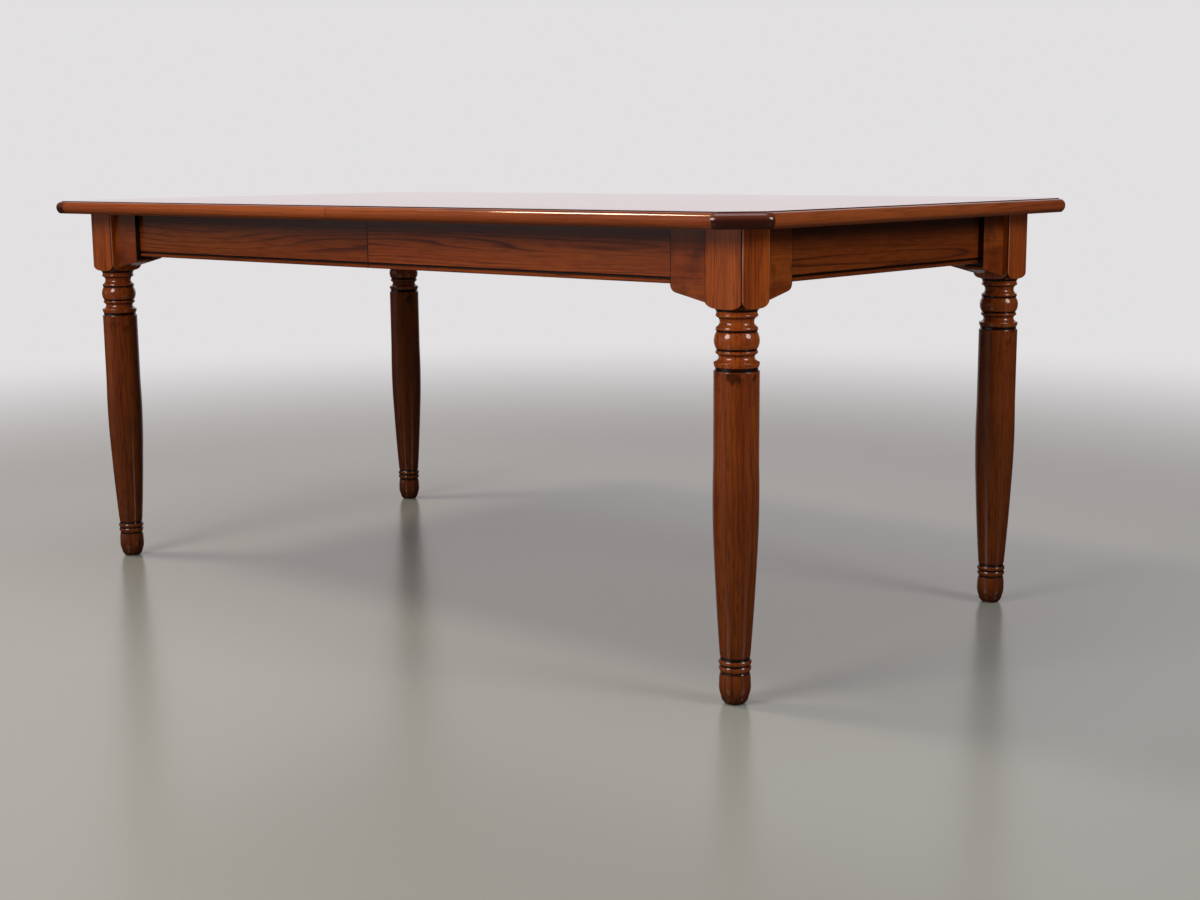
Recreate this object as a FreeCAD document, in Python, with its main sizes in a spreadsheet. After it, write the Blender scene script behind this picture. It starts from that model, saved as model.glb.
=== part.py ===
import FreeCAD, Part
import math
import os
import types
import Sketcher

# Extending dining table, millimetres. X runs along the table, Y across it, Z up from the floor.
# The origin is on the floor under the middle of the top. Front is -Y, left is -X.
# The two halves slide apart along X on geared wooden runners round a centre frame.

V = FreeCAD.Vector
DOC = FreeCAD.newDocument("ExtendingTable")
SHEET = DOC.addObject("Spreadsheet::Sheet", "sizes")

# Driving dimensions
DRIVING = {
    "table_length": 1800,
    "table_width": 1020,
    "table_height": 750,
    "top_thickness": 25,
    "top_joint_gap": 0.4,
    "corner_cut": 57,
    "corner_round": 24,
    "edge_step": 1.4,
    "edge_upper_reach": 11.3,
    "edge_lower_reach": 6.4,
    "rim_width": 14,
    "rim_overlap": 4,
    "end_overhang": 100,
    "side_overhang": 110,
    "leg_block_width": 70,
    "leg_arris_round": 3.5,
    "leg_block_height": 119,
    "pommel_rise": 12,
    "pommel_reach": 14,
    "shaft_diameter": 69.2,
    "glide_thickness": 1.5,
    "glide_diameter": 27,
    "glide_spigot_diameter": 5,
    "glide_spigot_length": 16,
    "rail_height": 87,
    "rail_thickness": 26,
    "rail_proud": 14,
    "rail_bead_radius": 3.2,
    "rail_quirk_width": 4.0,
    "rail_quirk_depth": 4.2,
    "ear_width": 73,
    "ear_proud": 10,
    "ear_outer_drop": 97,
    "ear_inner_drop": 113,
    "ear_corner_round": 10,
    "ear_arris_round": 1.5,
    "corner_block_setback": 50,
    "corner_block_thickness": 28,
    "corner_block_height": 70,
    "hanger_bolt_diameter": 8,
    "hanger_bolt_length": 92,
    "hanger_bolt_in_leg": 40,
    "hanger_bolt_drop": 35,
    "nut_flange_diameter": 20,
    "nut_flange_thickness": 2,
    "nut_hub_diameter": 13,
    "nut_hub_height": 9,
    "nut_wing_span": 34,
    "nut_wing_height": 15,
    "nut_wing_thickness": 2.5,
    "bracket_leg": 18,
    "bracket_width": 20,
    "bracket_thickness": 2,
    "bracket_inner_place": 150,
    "bracket_corner_gap": 228,
    "bracket_end_place": 150,
    "small_screw_diameter": 3.5,
    "small_screw_length": 15,
    "small_screw_head_diameter": 8,
    "small_screw_head_height": 2.2,
    "long_screw_diameter": 5,
    "long_screw_length": 40,
    "long_screw_head_diameter": 9,
    "long_screw_head_height": 3,
    "bearer_screw_length": 46,
    "hole_clearance": 0.1,
    "leaf_side_gap": 18,
    "runner_setback": 145,
    "runner_width": 26,
    "runner_height": 50,
    "runner_gap": 0.6,
    "runner_relief": 0.5,
    "runner_end_gap": 148,
    "runner_overlap": 75,
    "runner_stop_wall": 10,
    "runner_screw_first": 60,
    "centre_runner_width": 24,
    "centre_runner_height": 60,
    "centre_runner_reach": 400,
    "centre_runner_clearance": 1,
    "tongue_neck": 4,
    "tongue_head": 4.4,
    "tongue_neck_height": 6,
    "tongue_head_height": 13,
    "tongue_clearance": 0.4,
    "tongue_drop": 26,
    "stop_clearance": 0.5,
    "gear_module": 2,
    "gear_height": 5.6,
    "gear_backlash": 0.3,
    "rack_back": 5.6,
    "rack_overrun": 28,
    "pinion_notch_length": 44,
    "pinion_notch_height": 11.5,
    "pinion_gap": 0.4,
    "axle_diameter": 6,
    "axle_clearance": 0.1,
    "axle_head_diameter": 12,
    "axle_head_height": 3,
    "axle_thread_diameter": 5,
    "axle_thread_length": 24,
    "bearer_place": 330,
    "bearer_width": 60,
    "bearer_thickness": 22,
    "pin_diameter": 10,
    "pin_length": 32,
    "pin_reach": 15,
    "pin_clearance": 0.3,
    "hook_pivot_place": 22,
    "hook_rail_gap": 12,
    "hook_arm_width": 12,
    "hook_thickness": 3,
    "hook_drop": 4,
    "hook_gap": 0.3,
    "hook_jaw": 5,
    "hook_head_length": 16,
    "hook_knob_diameter": 8,
    "hook_knob_height": 9,
    "keeper_diameter": 6,
    "cut_overrun": 5,
}
PINION_TEETH = 16
PRESSURE_ANGLE = math.radians(20)
GEAR_ADDENDUM_SHARE = 0.9
GEAR_DEDENDUM_SHARE = 1.3

# Bulges of arcs: the tangent of a quarter of the angle that the arc turns through
QUARTER_TURN = math.tan(math.radians(90 / 4))
HALF_TURN = 1.0
EIGHTH_TURN = math.tan(math.radians(45 / 4))
LOWER_EDGE_BULGE = math.tan(math.radians(56 / 4))
POMMEL_BULGE = 0.33
FOOT_BULGE = 0.2

# The flat face under the foot, as a share of the shaft's radius
FOOT_FACE_SHARE = 0.46

# The turning from the foot up: height as a share of the height of the block's lower edge,
# radius as a share of the shaft's radius, and the bulge of the curve that leaves the point.
TURNING_SHARES = (
    (0.0200, 0.618, 0.13),
    (0.0545, 0.705, 0.06),
    (0.0815, 0.664, 0.0),
    (0.0835, 0.640, 0.0),
    (0.0870, 0.664, 0.42),
    (0.1015, 0.672, 0.0),
    (0.1030, 0.672, 0.46),
    (0.1170, 0.684, 0.0),
    (0.1178, 0.664, -0.25),
    (0.1260, 0.680, 0.008),
    (0.3663, 0.936, 0.022),
    (0.6188, 1.000, 0.0),
    (0.8440, 0.998, 0.35),
    (0.8474, 0.975, 0.0),
    (0.8480, 0.935, 0.0),
    (0.8545, 0.928, 0.0),
    (0.8560, 0.950, 0.10),
    (0.8665, 1.000, 0.30),
    (0.8690, 0.978, 0.0),
    (0.8700, 0.935, -0.30),
    (0.8812, 0.780, -0.25),
    (0.8875, 0.845, 0.0),
    (0.8885, 0.868, 0.62),
    (0.8980, 0.868, 0.0),
    (0.8998, 0.868, 0.0),
    (0.9010, 0.890, 0.262),
    (0.9405, 0.905, 0.0),
    (0.9415, 0.885, 0.0),
    (0.9450, 0.885, 0.0),
    (0.9460, 0.905, 0.20),
    (0.9540, 0.900, 0.0),
    (0.9545, 0.880, -0.33),
    (0.9705, 0.748, -0.22),
    (0.9785, 0.850, 0.0),
    (0.9792, 0.872, 0.60),
    (0.9870, 0.886, 0.0),
    (0.9930, 0.890, -0.18),
)
# Alignment pins across a half top, and along the leaf, as shares of half the table's width
PIN_SHARES = (0.255, 0.765)
# Screws along a runner, as shares of the way from the first screw to the runner's outer end
RUNNER_SCREW_SHARES = (0.0, 0.3, 0.62, 0.94)
# The screw line of a runner, as a share of its width from the face with the groove
RUNNER_SCREW_LINE_SHARE = 0.68
# A bracket's screw and the brackets' far faces, as shares of a bracket's leg
BRACKET_SCREW_SHARE = 0.6
# The upright side of a rail's quirk, as a share of the quirk's width
QUIRK_UPRIGHT_SHARE = 0.6
# The wing nut: top of its hub and root of its wings as shares of the hub's radius,
# shoulder and crest of a wing as shares of its height and span
NUT_HUB_TOP_SHARE = 0.82
NUT_WING_ROOT_SHARE = 1.1
NUT_WING_SHOULDER_SHARE = 0.62
NUT_WING_CREST_SHARE = 0.72
NUT_WING_SEAT_SHARE = 0.8
NUT_WING_BULGE = 0.5
# Screw heads and points
HEAD_CROWN_SHARE = 0.7
HEAD_RIM_SHARE = 0.35
HEAD_BULGE = 0.2
POINT_SHARE = 0.2
# Chamfers of turned ends, as shares of their radius or thickness
BOLT_TIP_SHARE = 1.4
BOLT_CHAMFER_SHARE = 0.25
PIN_CHAMFER_SHARE = 0.3
GLIDE_CHAMFER_SHARE = 0.3
# The runner's nose chamfer, in reliefs of its upper face
NOSE_RELIEFS = 8
# How far rack and pinion teeth are sunk into their bodies
TOOTH_SINK_SHARE = 0.2
TOOTH_FLANK_BULGE = 0.05
RACK_DEDENDUM_CUT = 0.2
PINION_ROOT_SINK_SHARE = 0.9
# How near two places are to count as one, and the least share of a solid that a cut takes away
SAME_PLACE = 1e-6
LEAST_CUT_SHARE = 1e-6


class Size:
    """A length with its value and the sheet expression that gives it."""

    def __init__(self, value, text):
        self.value = float(value)
        self.text = text

    def __add__(self, other):
        return Size(self.value + other.value, "(%s + %s)" % (self.text, other.text))

    def __sub__(self, other):
        return Size(self.value - other.value, "(%s - %s)" % (self.text, other.text))

    def __neg__(self):
        return Size(-self.value, "(-1 * %s)" % self.text)

    def __mul__(self, factor):
        if isinstance(factor, Size):
            return Size(self.value * factor.value, "(%s * %s)" % (self.text, factor.text))
        return Size(self.value * factor, "(%s * %.9f)" % (self.text, factor))

    def __truediv__(self, factor):
        if isinstance(factor, Size):
            return Size(self.value / factor.value, "(%s / %s)" % (self.text, factor.text))
        return Size(self.value / factor, "(%s / %.9f)" % (self.text, factor))


def chord(run, rise):
    """The straight distance that a run and a rise make together."""
    text = "sqrt(%s ^ 2 + %s ^ 2)" % (run.text, rise.text)
    return Size(math.hypot(run.value, rise.value), text)


for row, (alias, number) in enumerate(DRIVING.items(), start=1):
    SHEET.set("A%d" % row, alias)
    SHEET.set("B%d" % row, str(number))
    SHEET.setAlias("B%d" % row, alias)
DOC.recompute()
s = types.SimpleNamespace(**{name: Size(value, "sizes." + name) for name, value in DRIVING.items()})
ZERO = Size(0, "0")

# Places that several pieces share
HALF_LENGTH = s.table_length / 2
HALF_WIDTH = s.table_width / 2
UNDERSIDE = s.table_height - s.top_thickness
JOINT = s.top_joint_gap / 2
LEG_X = HALF_LENGTH - s.end_overhang
LEG_Y = HALF_WIDTH - s.side_overhang
BLOCK_HALF = s.leg_block_width / 2
BLOCK_FOOT = UNDERSIDE - s.leg_block_height
RAIL_FOOT = UNDERSIDE - s.rail_height
RAIL_INNER_X = LEG_X + s.rail_proud - s.rail_thickness
RAIL_INNER_Y = LEG_Y + s.rail_proud - s.rail_thickness
RUNNER_FOOT = UNDERSIDE - s.runner_height
CENTRE_RUNNER_HEAD = UNDERSIDE - s.centre_runner_clearance
CENTRE_RUNNER_FOOT = CENTRE_RUNNER_HEAD - s.centre_runner_height
INNER_RUNNER_Y = RAIL_INNER_Y - s.runner_setback
LEAF_HALF = INNER_RUNNER_Y - s.leaf_side_gap
TRAVEL = LEAF_HALF
CENTRE_Y = INNER_RUNNER_Y + s.runner_width + s.runner_gap + s.centre_runner_width / 2
CENTRE_HALF = s.centre_runner_width / 2
RUNNER_OUTER_END = RAIL_INNER_X - s.runner_end_gap
RUNNER_INNER_END = TRAVEL + s.runner_overlap
SLOT_END = RUNNER_INNER_END - s.runner_stop_wall
TONGUE_END = SLOT_END - TRAVEL - s.stop_clearance
BRACKET_ALONG = (s.bracket_inner_place, RAIL_INNER_X - s.bracket_corner_gap)
TONGUE_Z = UNDERSIDE - s.tongue_drop
PITCH_RADIUS = s.gear_module * (PINION_TEETH / 2)
TOOTH_PITCH = s.gear_module * math.pi
ADDENDUM = s.gear_module * GEAR_ADDENDUM_SHARE
DEDENDUM = s.gear_module * GEAR_DEDENDUM_SHARE
LEAF_FOOT = CENTRE_RUNNER_FOOT
HOOK_Y = RAIL_INNER_Y - s.hook_rail_gap
HOOK_REACH = s.hook_pivot_place * 2
HOOK_HEAD = UNDERSIDE - s.hook_drop
HOOK_FOOT = HOOK_HEAD - s.hook_thickness
BOLT_Z = UNDERSIDE - s.hanger_bolt_drop

SIDES = (("left", -1), ("right", 1))
ENDS = (("front", -1), ("back", 1))
PARTS = []


def sub_part(thing, label):
    """Keep a document object as one sub-part of the table."""
    thing.Label = label
    PARTS.append(thing)
    return thing


def body_named(label):
    """Start a sub-part that is made by features."""
    return sub_part(DOC.addObject("PartDesign::Body", label), label)


def sketch_on(body, plane, lift):
    """Start a sketch on one of the body's origin planes, lifted along the plane's normal."""
    support = [o for o in body.Origin.OriginFeatures if o.Role == plane + "_Plane"][0]
    sketch = body.newObject("Sketcher::SketchObject", "Sketch")
    sketch.AttachmentSupport = [(support, "")]
    sketch.MapMode = "FlatFace"
    sketch.setExpression("AttachmentOffset.Base.z", lift.text)
    return sketch


def hold(sketch, kind, edge, end, size):
    """Hold a point of the sketch at a size from the sketch's origin."""
    index = sketch.addConstraint(Sketcher.Constraint(kind, -1, 1, edge, end, size.value))
    sketch.setExpression("Constraints[%d]" % index, size.text)


def draw(sketch, points, closed=True):
    """Draw through (u, v, bulge) points. The bulge bends the side that leaves its point."""
    count = len(points) if closed else len(points) - 1
    ends = []
    for here in range(count):
        u0, v0, bulge = points[here]
        u1, v1, _ = points[(here + 1) % len(points)]
        start = V(u0.value, v0.value, 0)
        finish = V(u1.value, v1.value, 0)
        if bulge == 0:
            edge = sketch.addGeometry(Part.LineSegment(start, finish), False)
            ends.append((edge, 1, 2))
        else:
            along = finish - start
            centre = (start + finish) / 2 + V(-along.y, along.x, 0) * (1 - bulge ** 2) / (4 * bulge)
            radius = chord(u1 - u0, v1 - v0) * ((1 + bulge ** 2) / (4 * abs(bulge)))
            upright = abs(along.y) > abs(along.x)
            angles = [math.atan2(p.y - centre.y, p.x - centre.x) for p in (start, finish)]
            if bulge < 0:
                angles.reverse()
            circle = Part.Circle(centre, V(0, 0, 1), radius.value)
            edge = sketch.addGeometry(Part.ArcOfCircle(circle, angles[0], angles[1]), False)
            ends.append((edge, 1, 2) if bulge > 0 else (edge, 2, 1))
            if abs(bulge) < HALF_TURN:
                index = sketch.addConstraint(Sketcher.Constraint("Radius", edge, radius.value))
                sketch.setExpression("Constraints[%d]" % index, radius.text)
            elif upright:
                hold(sketch, "DistanceX", edge, 3, (u0 + u1) / 2)
            else:
                hold(sketch, "DistanceY", edge, 3, (v0 + v1) / 2)
    for here in range(count):
        edge, first, last = ends[here]
        hold(sketch, "DistanceX", edge, first, points[here][0])
        hold(sketch, "DistanceY", edge, first, points[here][1])
        if closed or here + 1 < count:
            following, entry, _ = ends[(here + 1) % count]
            sketch.addConstraint(Sketcher.Constraint("Coincident", edge, last, following, entry))
        else:
            hold(sketch, "DistanceX", edge, last, points[-1][0])
            hold(sketch, "DistanceY", edge, last, points[-1][1])


def draw_circles(sketch, centres, diameter):
    """Draw equal circles at (u, v) centres."""
    for u, v in centres:
        circle = Part.Circle(V(u.value, v.value, 0), V(0, 0, 1), diameter.value / 2)
        edge = sketch.addGeometry(circle, False)
        hold(sketch, "DistanceX", edge, 3, u)
        hold(sketch, "DistanceY", edge, 3, v)
        index = sketch.addConstraint(Sketcher.Constraint("Diameter", edge, diameter.value))
        sketch.setExpression("Constraints[%d]" % index, diameter.text)


def lifted(body, plane, low, high):
    """A sketch at the end of a stretch where the plane's normal starts to cross it."""
    return sketch_on(body, plane, -high if plane == "XZ" else low)


def add(body, plane, low, high, points):
    """Add an outline's prism from low to high across the plane."""
    sketch = lifted(body, plane, low, high)
    draw(sketch, points)
    pad = body.newObject("PartDesign::Pad", "Pad")
    pad.Profile = sketch
    pad.setExpression("Length", (high - low).text)
    return pad


def pocket(body, sketch, low, high):
    """Cut a sketch's outline away from low to high."""
    cut = body.newObject("PartDesign::Pocket", "Pocket")
    cut.Profile = sketch
    cut.Reversed = True
    cut.setExpression("Length", (high - low).text)
    return cut


def cut(body, plane, low, high, points):
    """Cut an outline's prism away from low to high across the plane."""
    sketch = lifted(body, plane, low, high)
    draw(sketch, points)
    return pocket(body, sketch, low, high)


def drill(body, plane, low, high, centres, diameter):
    """Drill equal holes from low to high across the plane."""
    sketch = lifted(body, plane, low, high)
    draw_circles(sketch, centres, diameter)
    return pocket(body, sketch, low, high)


def rectangle(u0, u1, v0, v1):
    """The outline of a rectangle between two values each way."""
    return [(u0, v0, 0), (u1, v0, 0), (u1, v1, 0), (u0, v1, 0)]


def turn(body, points):
    """Turn a (radius, height) outline about the body's Z axis."""
    sketch = sketch_on(body, "XZ", ZERO)
    draw(sketch, points)
    turned = body.newObject("PartDesign::Revolution", "Revolution")
    turned.Profile = sketch
    turned.ReferenceAxis = (sketch, ["V_Axis"])
    turned.Angle = 360
    return turned


def place(thing, x, y, z, spin=0, axis=V(0, 0, 1)):
    """Put a piece at a place, turned by an angle about an axis."""
    thing.Placement = FreeCAD.Placement(V(x.value, y.value, z.value), FreeCAD.Rotation(axis, spin))
    thing.setExpression("Placement.Base.x", x.text)
    thing.setExpression("Placement.Base.y", y.text)
    thing.setExpression("Placement.Base.z", z.text)


def master(name):
    """Start a body that is repeated by a group and isn't a sub-part itself."""
    return DOC.addObject("PartDesign::Body", name)


def group(label, pattern, places):
    """Repeat one body at (x, y, z, spin, axis) places as a sub-part of separate solids."""
    links = []
    for x, y, z, spin, axis in places:
        link = DOC.addObject("App::Link", label + "_piece")
        link.LinkedObject = pattern
        link.LinkTransform = False
        place(link, x, y, z, spin, axis)
        links.append(link)
    compound = DOC.addObject("Part::Compound", label)
    compound.Links = links
    return sub_part(compound, label)


def copy_of(pattern, label, x, y, z, spin):
    """A sub-part that copies a pattern body at a place of its own."""
    body = body_named(label)
    base = body.newObject("PartDesign::FeatureBase", "Copy")
    base.BaseFeature = pattern
    body.Tip = base
    place(body, x, y, z, spin)
    return body


def flip(points, sign):
    """Mirror an outline across its second axis when the sign is negative."""
    return [(u * sign, v, bulge * sign) for u, v, bulge in points]


UP = V(0, 0, 1)


def corner_outline(side, inset):
    """The outline of one half top, moved in by an inset: joint, clipped corner, end, corner."""
    end = HALF_LENGTH - inset
    edge = HALF_WIDTH - inset
    corner = s.corner_cut - inset * (2 - math.sqrt(2))
    bend = (s.corner_round - inset) * math.tan(math.radians(45 / 2))
    slant = bend / math.sqrt(2)
    points = [
        (JOINT, -edge, 0),
        (end - corner - bend, -edge, EIGHTH_TURN),
        (end - corner + slant, -edge + slant, 0),
        (end - slant, -edge + corner - slant, EIGHTH_TURN),
        (end, -edge + corner + bend, 0),
        (end, edge - corner - bend, EIGHTH_TURN),
        (end - slant, edge - corner + slant, 0),
        (end - corner + slant, edge - slant, EIGHTH_TURN),
        (end - corner - bend, edge, 0),
        (JOINT, edge, 0),
    ]
    return flip(points, side)


def edge_profile(edge, foot, reach):
    """The moulded edge in section: step, upper round, lower round, back to the flat underside."""
    head = foot + s.top_thickness
    middle = foot + s.top_thickness / 2
    return [
        (edge + reach, foot, 0),
        (edge + reach, head, 0),
        (edge + s.edge_upper_reach, head, 0),
        (edge + s.edge_upper_reach, head - s.edge_step, QUARTER_TURN),
        (edge, middle, LOWER_EDGE_BULGE),
        (edge + s.edge_lower_reach, foot, 0),
    ]


def runner_screw_places(side):
    """Along the table, where a half's runners are screwed up into its top."""
    first = s.runner_screw_first
    return [(first + (RUNNER_OUTER_END - first) * share) * side for share in RUNNER_SCREW_SHARES]


def runner_centre(side, end):
    """Across the table, the middle of a half's runner: outside on the left, inside on the right."""
    offset = CENTRE_HALF + s.runner_gap + s.runner_width / 2
    return (CENTRE_Y - offset * side) * end


def runner_screw_y(side, end):
    """Across the table, the screw line of a runner, clear of its groove and rack."""
    offset = CENTRE_HALF + s.runner_gap + s.runner_width * RUNNER_SCREW_LINE_SHARE
    return (CENTRE_Y - offset * side) * end


def bracket_top_places(side):
    """Under the top, the screw of each bracket: (x, y, angle of the bracket)."""
    reach = s.bracket_leg * BRACKET_SCREW_SHARE
    places = []
    for end in (-1, 1):
        for along in BRACKET_ALONG:
            places.append((along * side, (RAIL_INNER_Y - reach) * end, 90 - 90 * end))
        places.append(((RAIL_INNER_X - reach) * side, s.bracket_end_place * end, -90 * side))
    return places


def bracket_screw_places(side):
    """Two screws in each bracket: one up into the top, one outwards into the rail."""
    reach = s.bracket_leg * BRACKET_SCREW_SHARE
    places = []
    for x, y, _ in bracket_top_places(side):
        places.append((x, y, UNDERSIDE - s.bracket_thickness, 0, UP))
        if abs(x.value) < abs(RAIL_INNER_X.value) - s.bracket_leg.value:
            end = 1 if y.value > 0 else -1
            out = y + (reach - s.bracket_thickness) * end
            places.append((x, out, UNDERSIDE - reach, 90, V(-end, 0, 0)))
        else:
            out = x + (reach - s.bracket_thickness) * side
            places.append((out, y, UNDERSIDE - reach, 90, V(0, side, 0)))
    return places


def pin_places():
    """Across a half top, or along the leaf, where the alignment pins are."""
    return [HALF_WIDTH * (share * end) for share in PIN_SHARES for end in (-1, 1)]


def half_top(name, side):
    """Half the table top: a slab with a moulded rim round its three outer sides."""
    body = body_named("top_" + name)
    add(body, "XY", UNDERSIDE, s.table_height, corner_outline(side, s.rim_width))
    path = sketch_on(body, "XY", UNDERSIDE)
    draw(path, corner_outline(side, ZERO), closed=False)
    section = sketch_on(body, "YZ", JOINT * side)
    draw(section, edge_profile(-HALF_WIDTH, UNDERSIDE, s.rim_width + s.rim_overlap))
    rim = body.newObject("PartDesign::AdditivePipe", "Rim")
    rim.Profile = section
    rim.Spine = (path, ["Edge%d" % (n + 1) for n in range(9)])
    rim.Transition = "Transformed"
    middle = UNDERSIDE + s.top_thickness / 2
    pins = [(across, middle) for across in pin_places()]
    if side < 0:
        socket = JOINT + s.pin_reach + s.cut_overrun
        drill(body, "YZ", -socket, ZERO, pins, s.pin_diameter + s.pin_clearance * 2)
    else:
        socket = JOINT + s.pin_length - s.pin_reach
        drill(body, "YZ", ZERO, socket, pins, s.pin_diameter + s.hole_clearance)
    low = UNDERSIDE - s.cut_overrun
    play = s.hole_clearance * 2
    small = [(x, y) for x, y, _ in bracket_top_places(side)]
    drill(body, "XY", low, UNDERSIDE + s.small_screw_length, small, s.small_screw_diameter + play)
    long_places = [(x, runner_screw_y(side, end)) for end in (-1, 1) for x in runner_screw_places(side)]
    depth = s.long_screw_length - s.runner_height / 2 + s.hole_clearance
    drill(body, "XY", low, UNDERSIDE + depth, long_places, s.long_screw_diameter + play)
    hooks = [(s.hook_pivot_place * side, HOOK_Y * end) for end in (-1, 1)]
    drill(body, "XY", low, UNDERSIDE + s.small_screw_length, hooks, s.axle_thread_diameter + play)
    return body


def leg():
    """A leg: a square block with a turned shaft, rings, beads and a bulb foot below it."""
    body = master("leg_pattern")
    radius = s.shaft_diameter / 2
    points = [
        (ZERO, s.glide_thickness, 0),
        (radius * FOOT_FACE_SHARE, s.glide_thickness, FOOT_BULGE),
    ]
    for height_share, radius_share, bulge in TURNING_SHARES:
        points.append((radius * radius_share, BLOCK_FOOT * height_share, bulge))
    points.append((BLOCK_HALF, BLOCK_FOOT, POMMEL_BULGE))
    points.append((BLOCK_HALF + s.pommel_reach, BLOCK_FOOT + s.pommel_rise, 0))
    points.append((BLOCK_HALF + s.pommel_reach, UNDERSIDE, 0))
    points.append((ZERO, UNDERSIDE, 0))
    turn(body, points)
    low = BLOCK_FOOT - s.cut_overrun
    sketch = sketch_on(body, "XY", low)
    draw_circles(sketch, [(ZERO, ZERO)], (BLOCK_HALF + s.pommel_reach + s.cut_overrun) * 2)
    flat = BLOCK_HALF - s.leg_arris_round
    square = []
    for cu, cv in ((1, -1), (1, 1), (-1, 1), (-1, -1)):
        straight = (BLOCK_HALF * cu, flat * cv) if cu * cv > 0 else (flat * cu, BLOCK_HALF * cv)
        rounded = (flat * cu, BLOCK_HALF * cv) if cu * cv > 0 else (BLOCK_HALF * cu, flat * cv)
        square.append((straight[0], straight[1], QUARTER_TURN))
        square.append((rounded[0], rounded[1], 0))
    draw(sketch, square)
    pocket(body, sketch, low, UNDERSIDE + s.cut_overrun)
    drill(body, "XY", ZERO, s.glide_thickness + s.glide_spigot_length, [(ZERO, ZERO)],
          s.glide_spigot_diameter + s.hole_clearance * 2)
    bolt_start = BLOCK_HALF * math.sqrt(2) - s.hanger_bolt_in_leg
    hole_start = bolt_start - s.hole_clearance
    sketch = sketch_on(body, "XZ", hole_start)
    sketch.AttachmentOffset = FreeCAD.Placement(V(0, 0, 0), FreeCAD.Rotation(V(0, 1, 0), 45))
    sketch.setExpression("AttachmentOffset.Base.x", "(%s) * sin(45 deg)" % hole_start.text)
    sketch.setExpression("AttachmentOffset.Base.z", "(%s) * cos(45 deg)" % hole_start.text)
    draw_circles(sketch, [(ZERO, BOLT_Z)], s.hanger_bolt_diameter + s.hole_clearance * 2)
    pocket(body, sketch, bolt_start, BLOCK_HALF * 2)
    return body


def rail_section(outer, inner, outward):
    """A rail in section: a beaded lower edge with a quirk above it."""
    bead = s.rail_bead_radius
    quirk_foot = RAIL_FOOT + bead * 2
    quirk_face = outer - s.rail_quirk_depth * outward
    return [
        (inner, RAIL_FOOT, 0),
        (outer - bead * outward, RAIL_FOOT, HALF_TURN * outward),
        (outer - bead * outward, quirk_foot, 0),
        (quirk_face, quirk_foot, 0),
        (quirk_face, quirk_foot + s.rail_quirk_width * QUIRK_UPRIGHT_SHARE, 0),
        (outer, quirk_foot + s.rail_quirk_width, 0),
        (outer, UNDERSIDE, 0),
        (inner, UNDERSIDE, 0),
    ]


def side_rail(name, side, end):
    """Half a side rail, from the joint in the middle to the ear beside the leg block."""
    body = body_named("side_rail_" + name)
    outer = (LEG_Y + s.rail_proud) * end
    stretch = (JOINT, LEG_X - BLOCK_HALF - s.ear_width)
    low, high = stretch if side > 0 else (-stretch[1], -stretch[0])
    add(body, "YZ", low, high, rail_section(outer, RAIL_INNER_Y * end, end))
    hole_z = UNDERSIDE - s.bracket_leg * BRACKET_SCREW_SHARE
    centres = [(x * side, hole_z) for x in BRACKET_ALONG]
    start = (RAIL_INNER_Y - s.cut_overrun) * end
    finish = (RAIL_INNER_Y + s.small_screw_length) * end
    low, high = (start, finish) if end > 0 else (finish, start)
    drill(body, "XZ", low, high, centres, s.small_screw_diameter + s.hole_clearance * 2)
    return body


def end_rail(name, side):
    """An end rail between the ears beside two leg blocks."""
    body = body_named("end_rail_" + name)
    outer = (LEG_X + s.rail_proud) * side
    reach = LEG_Y - BLOCK_HALF - s.ear_width
    add(body, "XZ", -reach, reach, rail_section(outer, RAIL_INNER_X * side, side))
    hole_z = UNDERSIDE - s.bracket_leg * BRACKET_SCREW_SHARE
    start = (RAIL_INNER_X - s.cut_overrun) * side
    finish = (RAIL_INNER_X + s.small_screw_length) * side
    low, high = (start, finish) if side > 0 else (finish, start)
    drill(body, "YZ", low, high, [(s.bracket_end_place * end, hole_z) for end in (-1, 1)],
          s.small_screw_diameter + s.hole_clearance * 2)
    return body


def ear(name, plane, root, toward, outer, inner):
    """A shaped block between a leg block and a rail's end, proud outside and flush inside."""
    body = body_named("ear_" + name)
    tip = root + s.ear_width * toward
    low_z = UNDERSIDE - s.ear_outer_drop
    rise = s.ear_inner_drop - s.ear_outer_drop
    slope = chord(s.ear_width, rise)
    turned = math.pi / 2 - math.atan2(rise.value, s.ear_width.value)
    points = [
        (root, UNDERSIDE, 0),
        (root, UNDERSIDE - s.ear_inner_drop, 0),
        (tip - s.ear_corner_round * s.ear_width / slope * toward, low_z - s.ear_corner_round * rise / slope,
         math.tan(turned / 4) * toward),
        (tip, low_z + s.ear_corner_round, 0),
        (tip, UNDERSIDE, 0),
    ]
    low, high = (inner, outer) if outer.value > 0 else (outer, inner)
    pad = add(body, plane, low, high, points)
    DOC.recompute()
    seats = []
    for number, edge in enumerate(pad.Shape.Edges, start=1):
        box = edge.BoundBox
        across = (box.XMin, box.XMax) if plane == "YZ" else (box.YMin, box.YMax)
        along = (box.YMin, box.YMax) if plane == "YZ" else (box.XMin, box.XMax)
        at_face = all(abs(value - outer.value) < SAME_PLACE for value in across)
        at_root = all(abs(value - root.value) < SAME_PLACE for value in along)
        at_top = abs(box.ZMin - UNDERSIDE.value) < SAME_PLACE
        if at_face and not at_root and not at_top:
            seats.append("Edge%d" % number)
    rounding = body.newObject("PartDesign::Fillet", "Fillet")
    rounding.Base = (pad, seats)
    rounding.setExpression("Radius", s.ear_arris_round.text)
    return body


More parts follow.
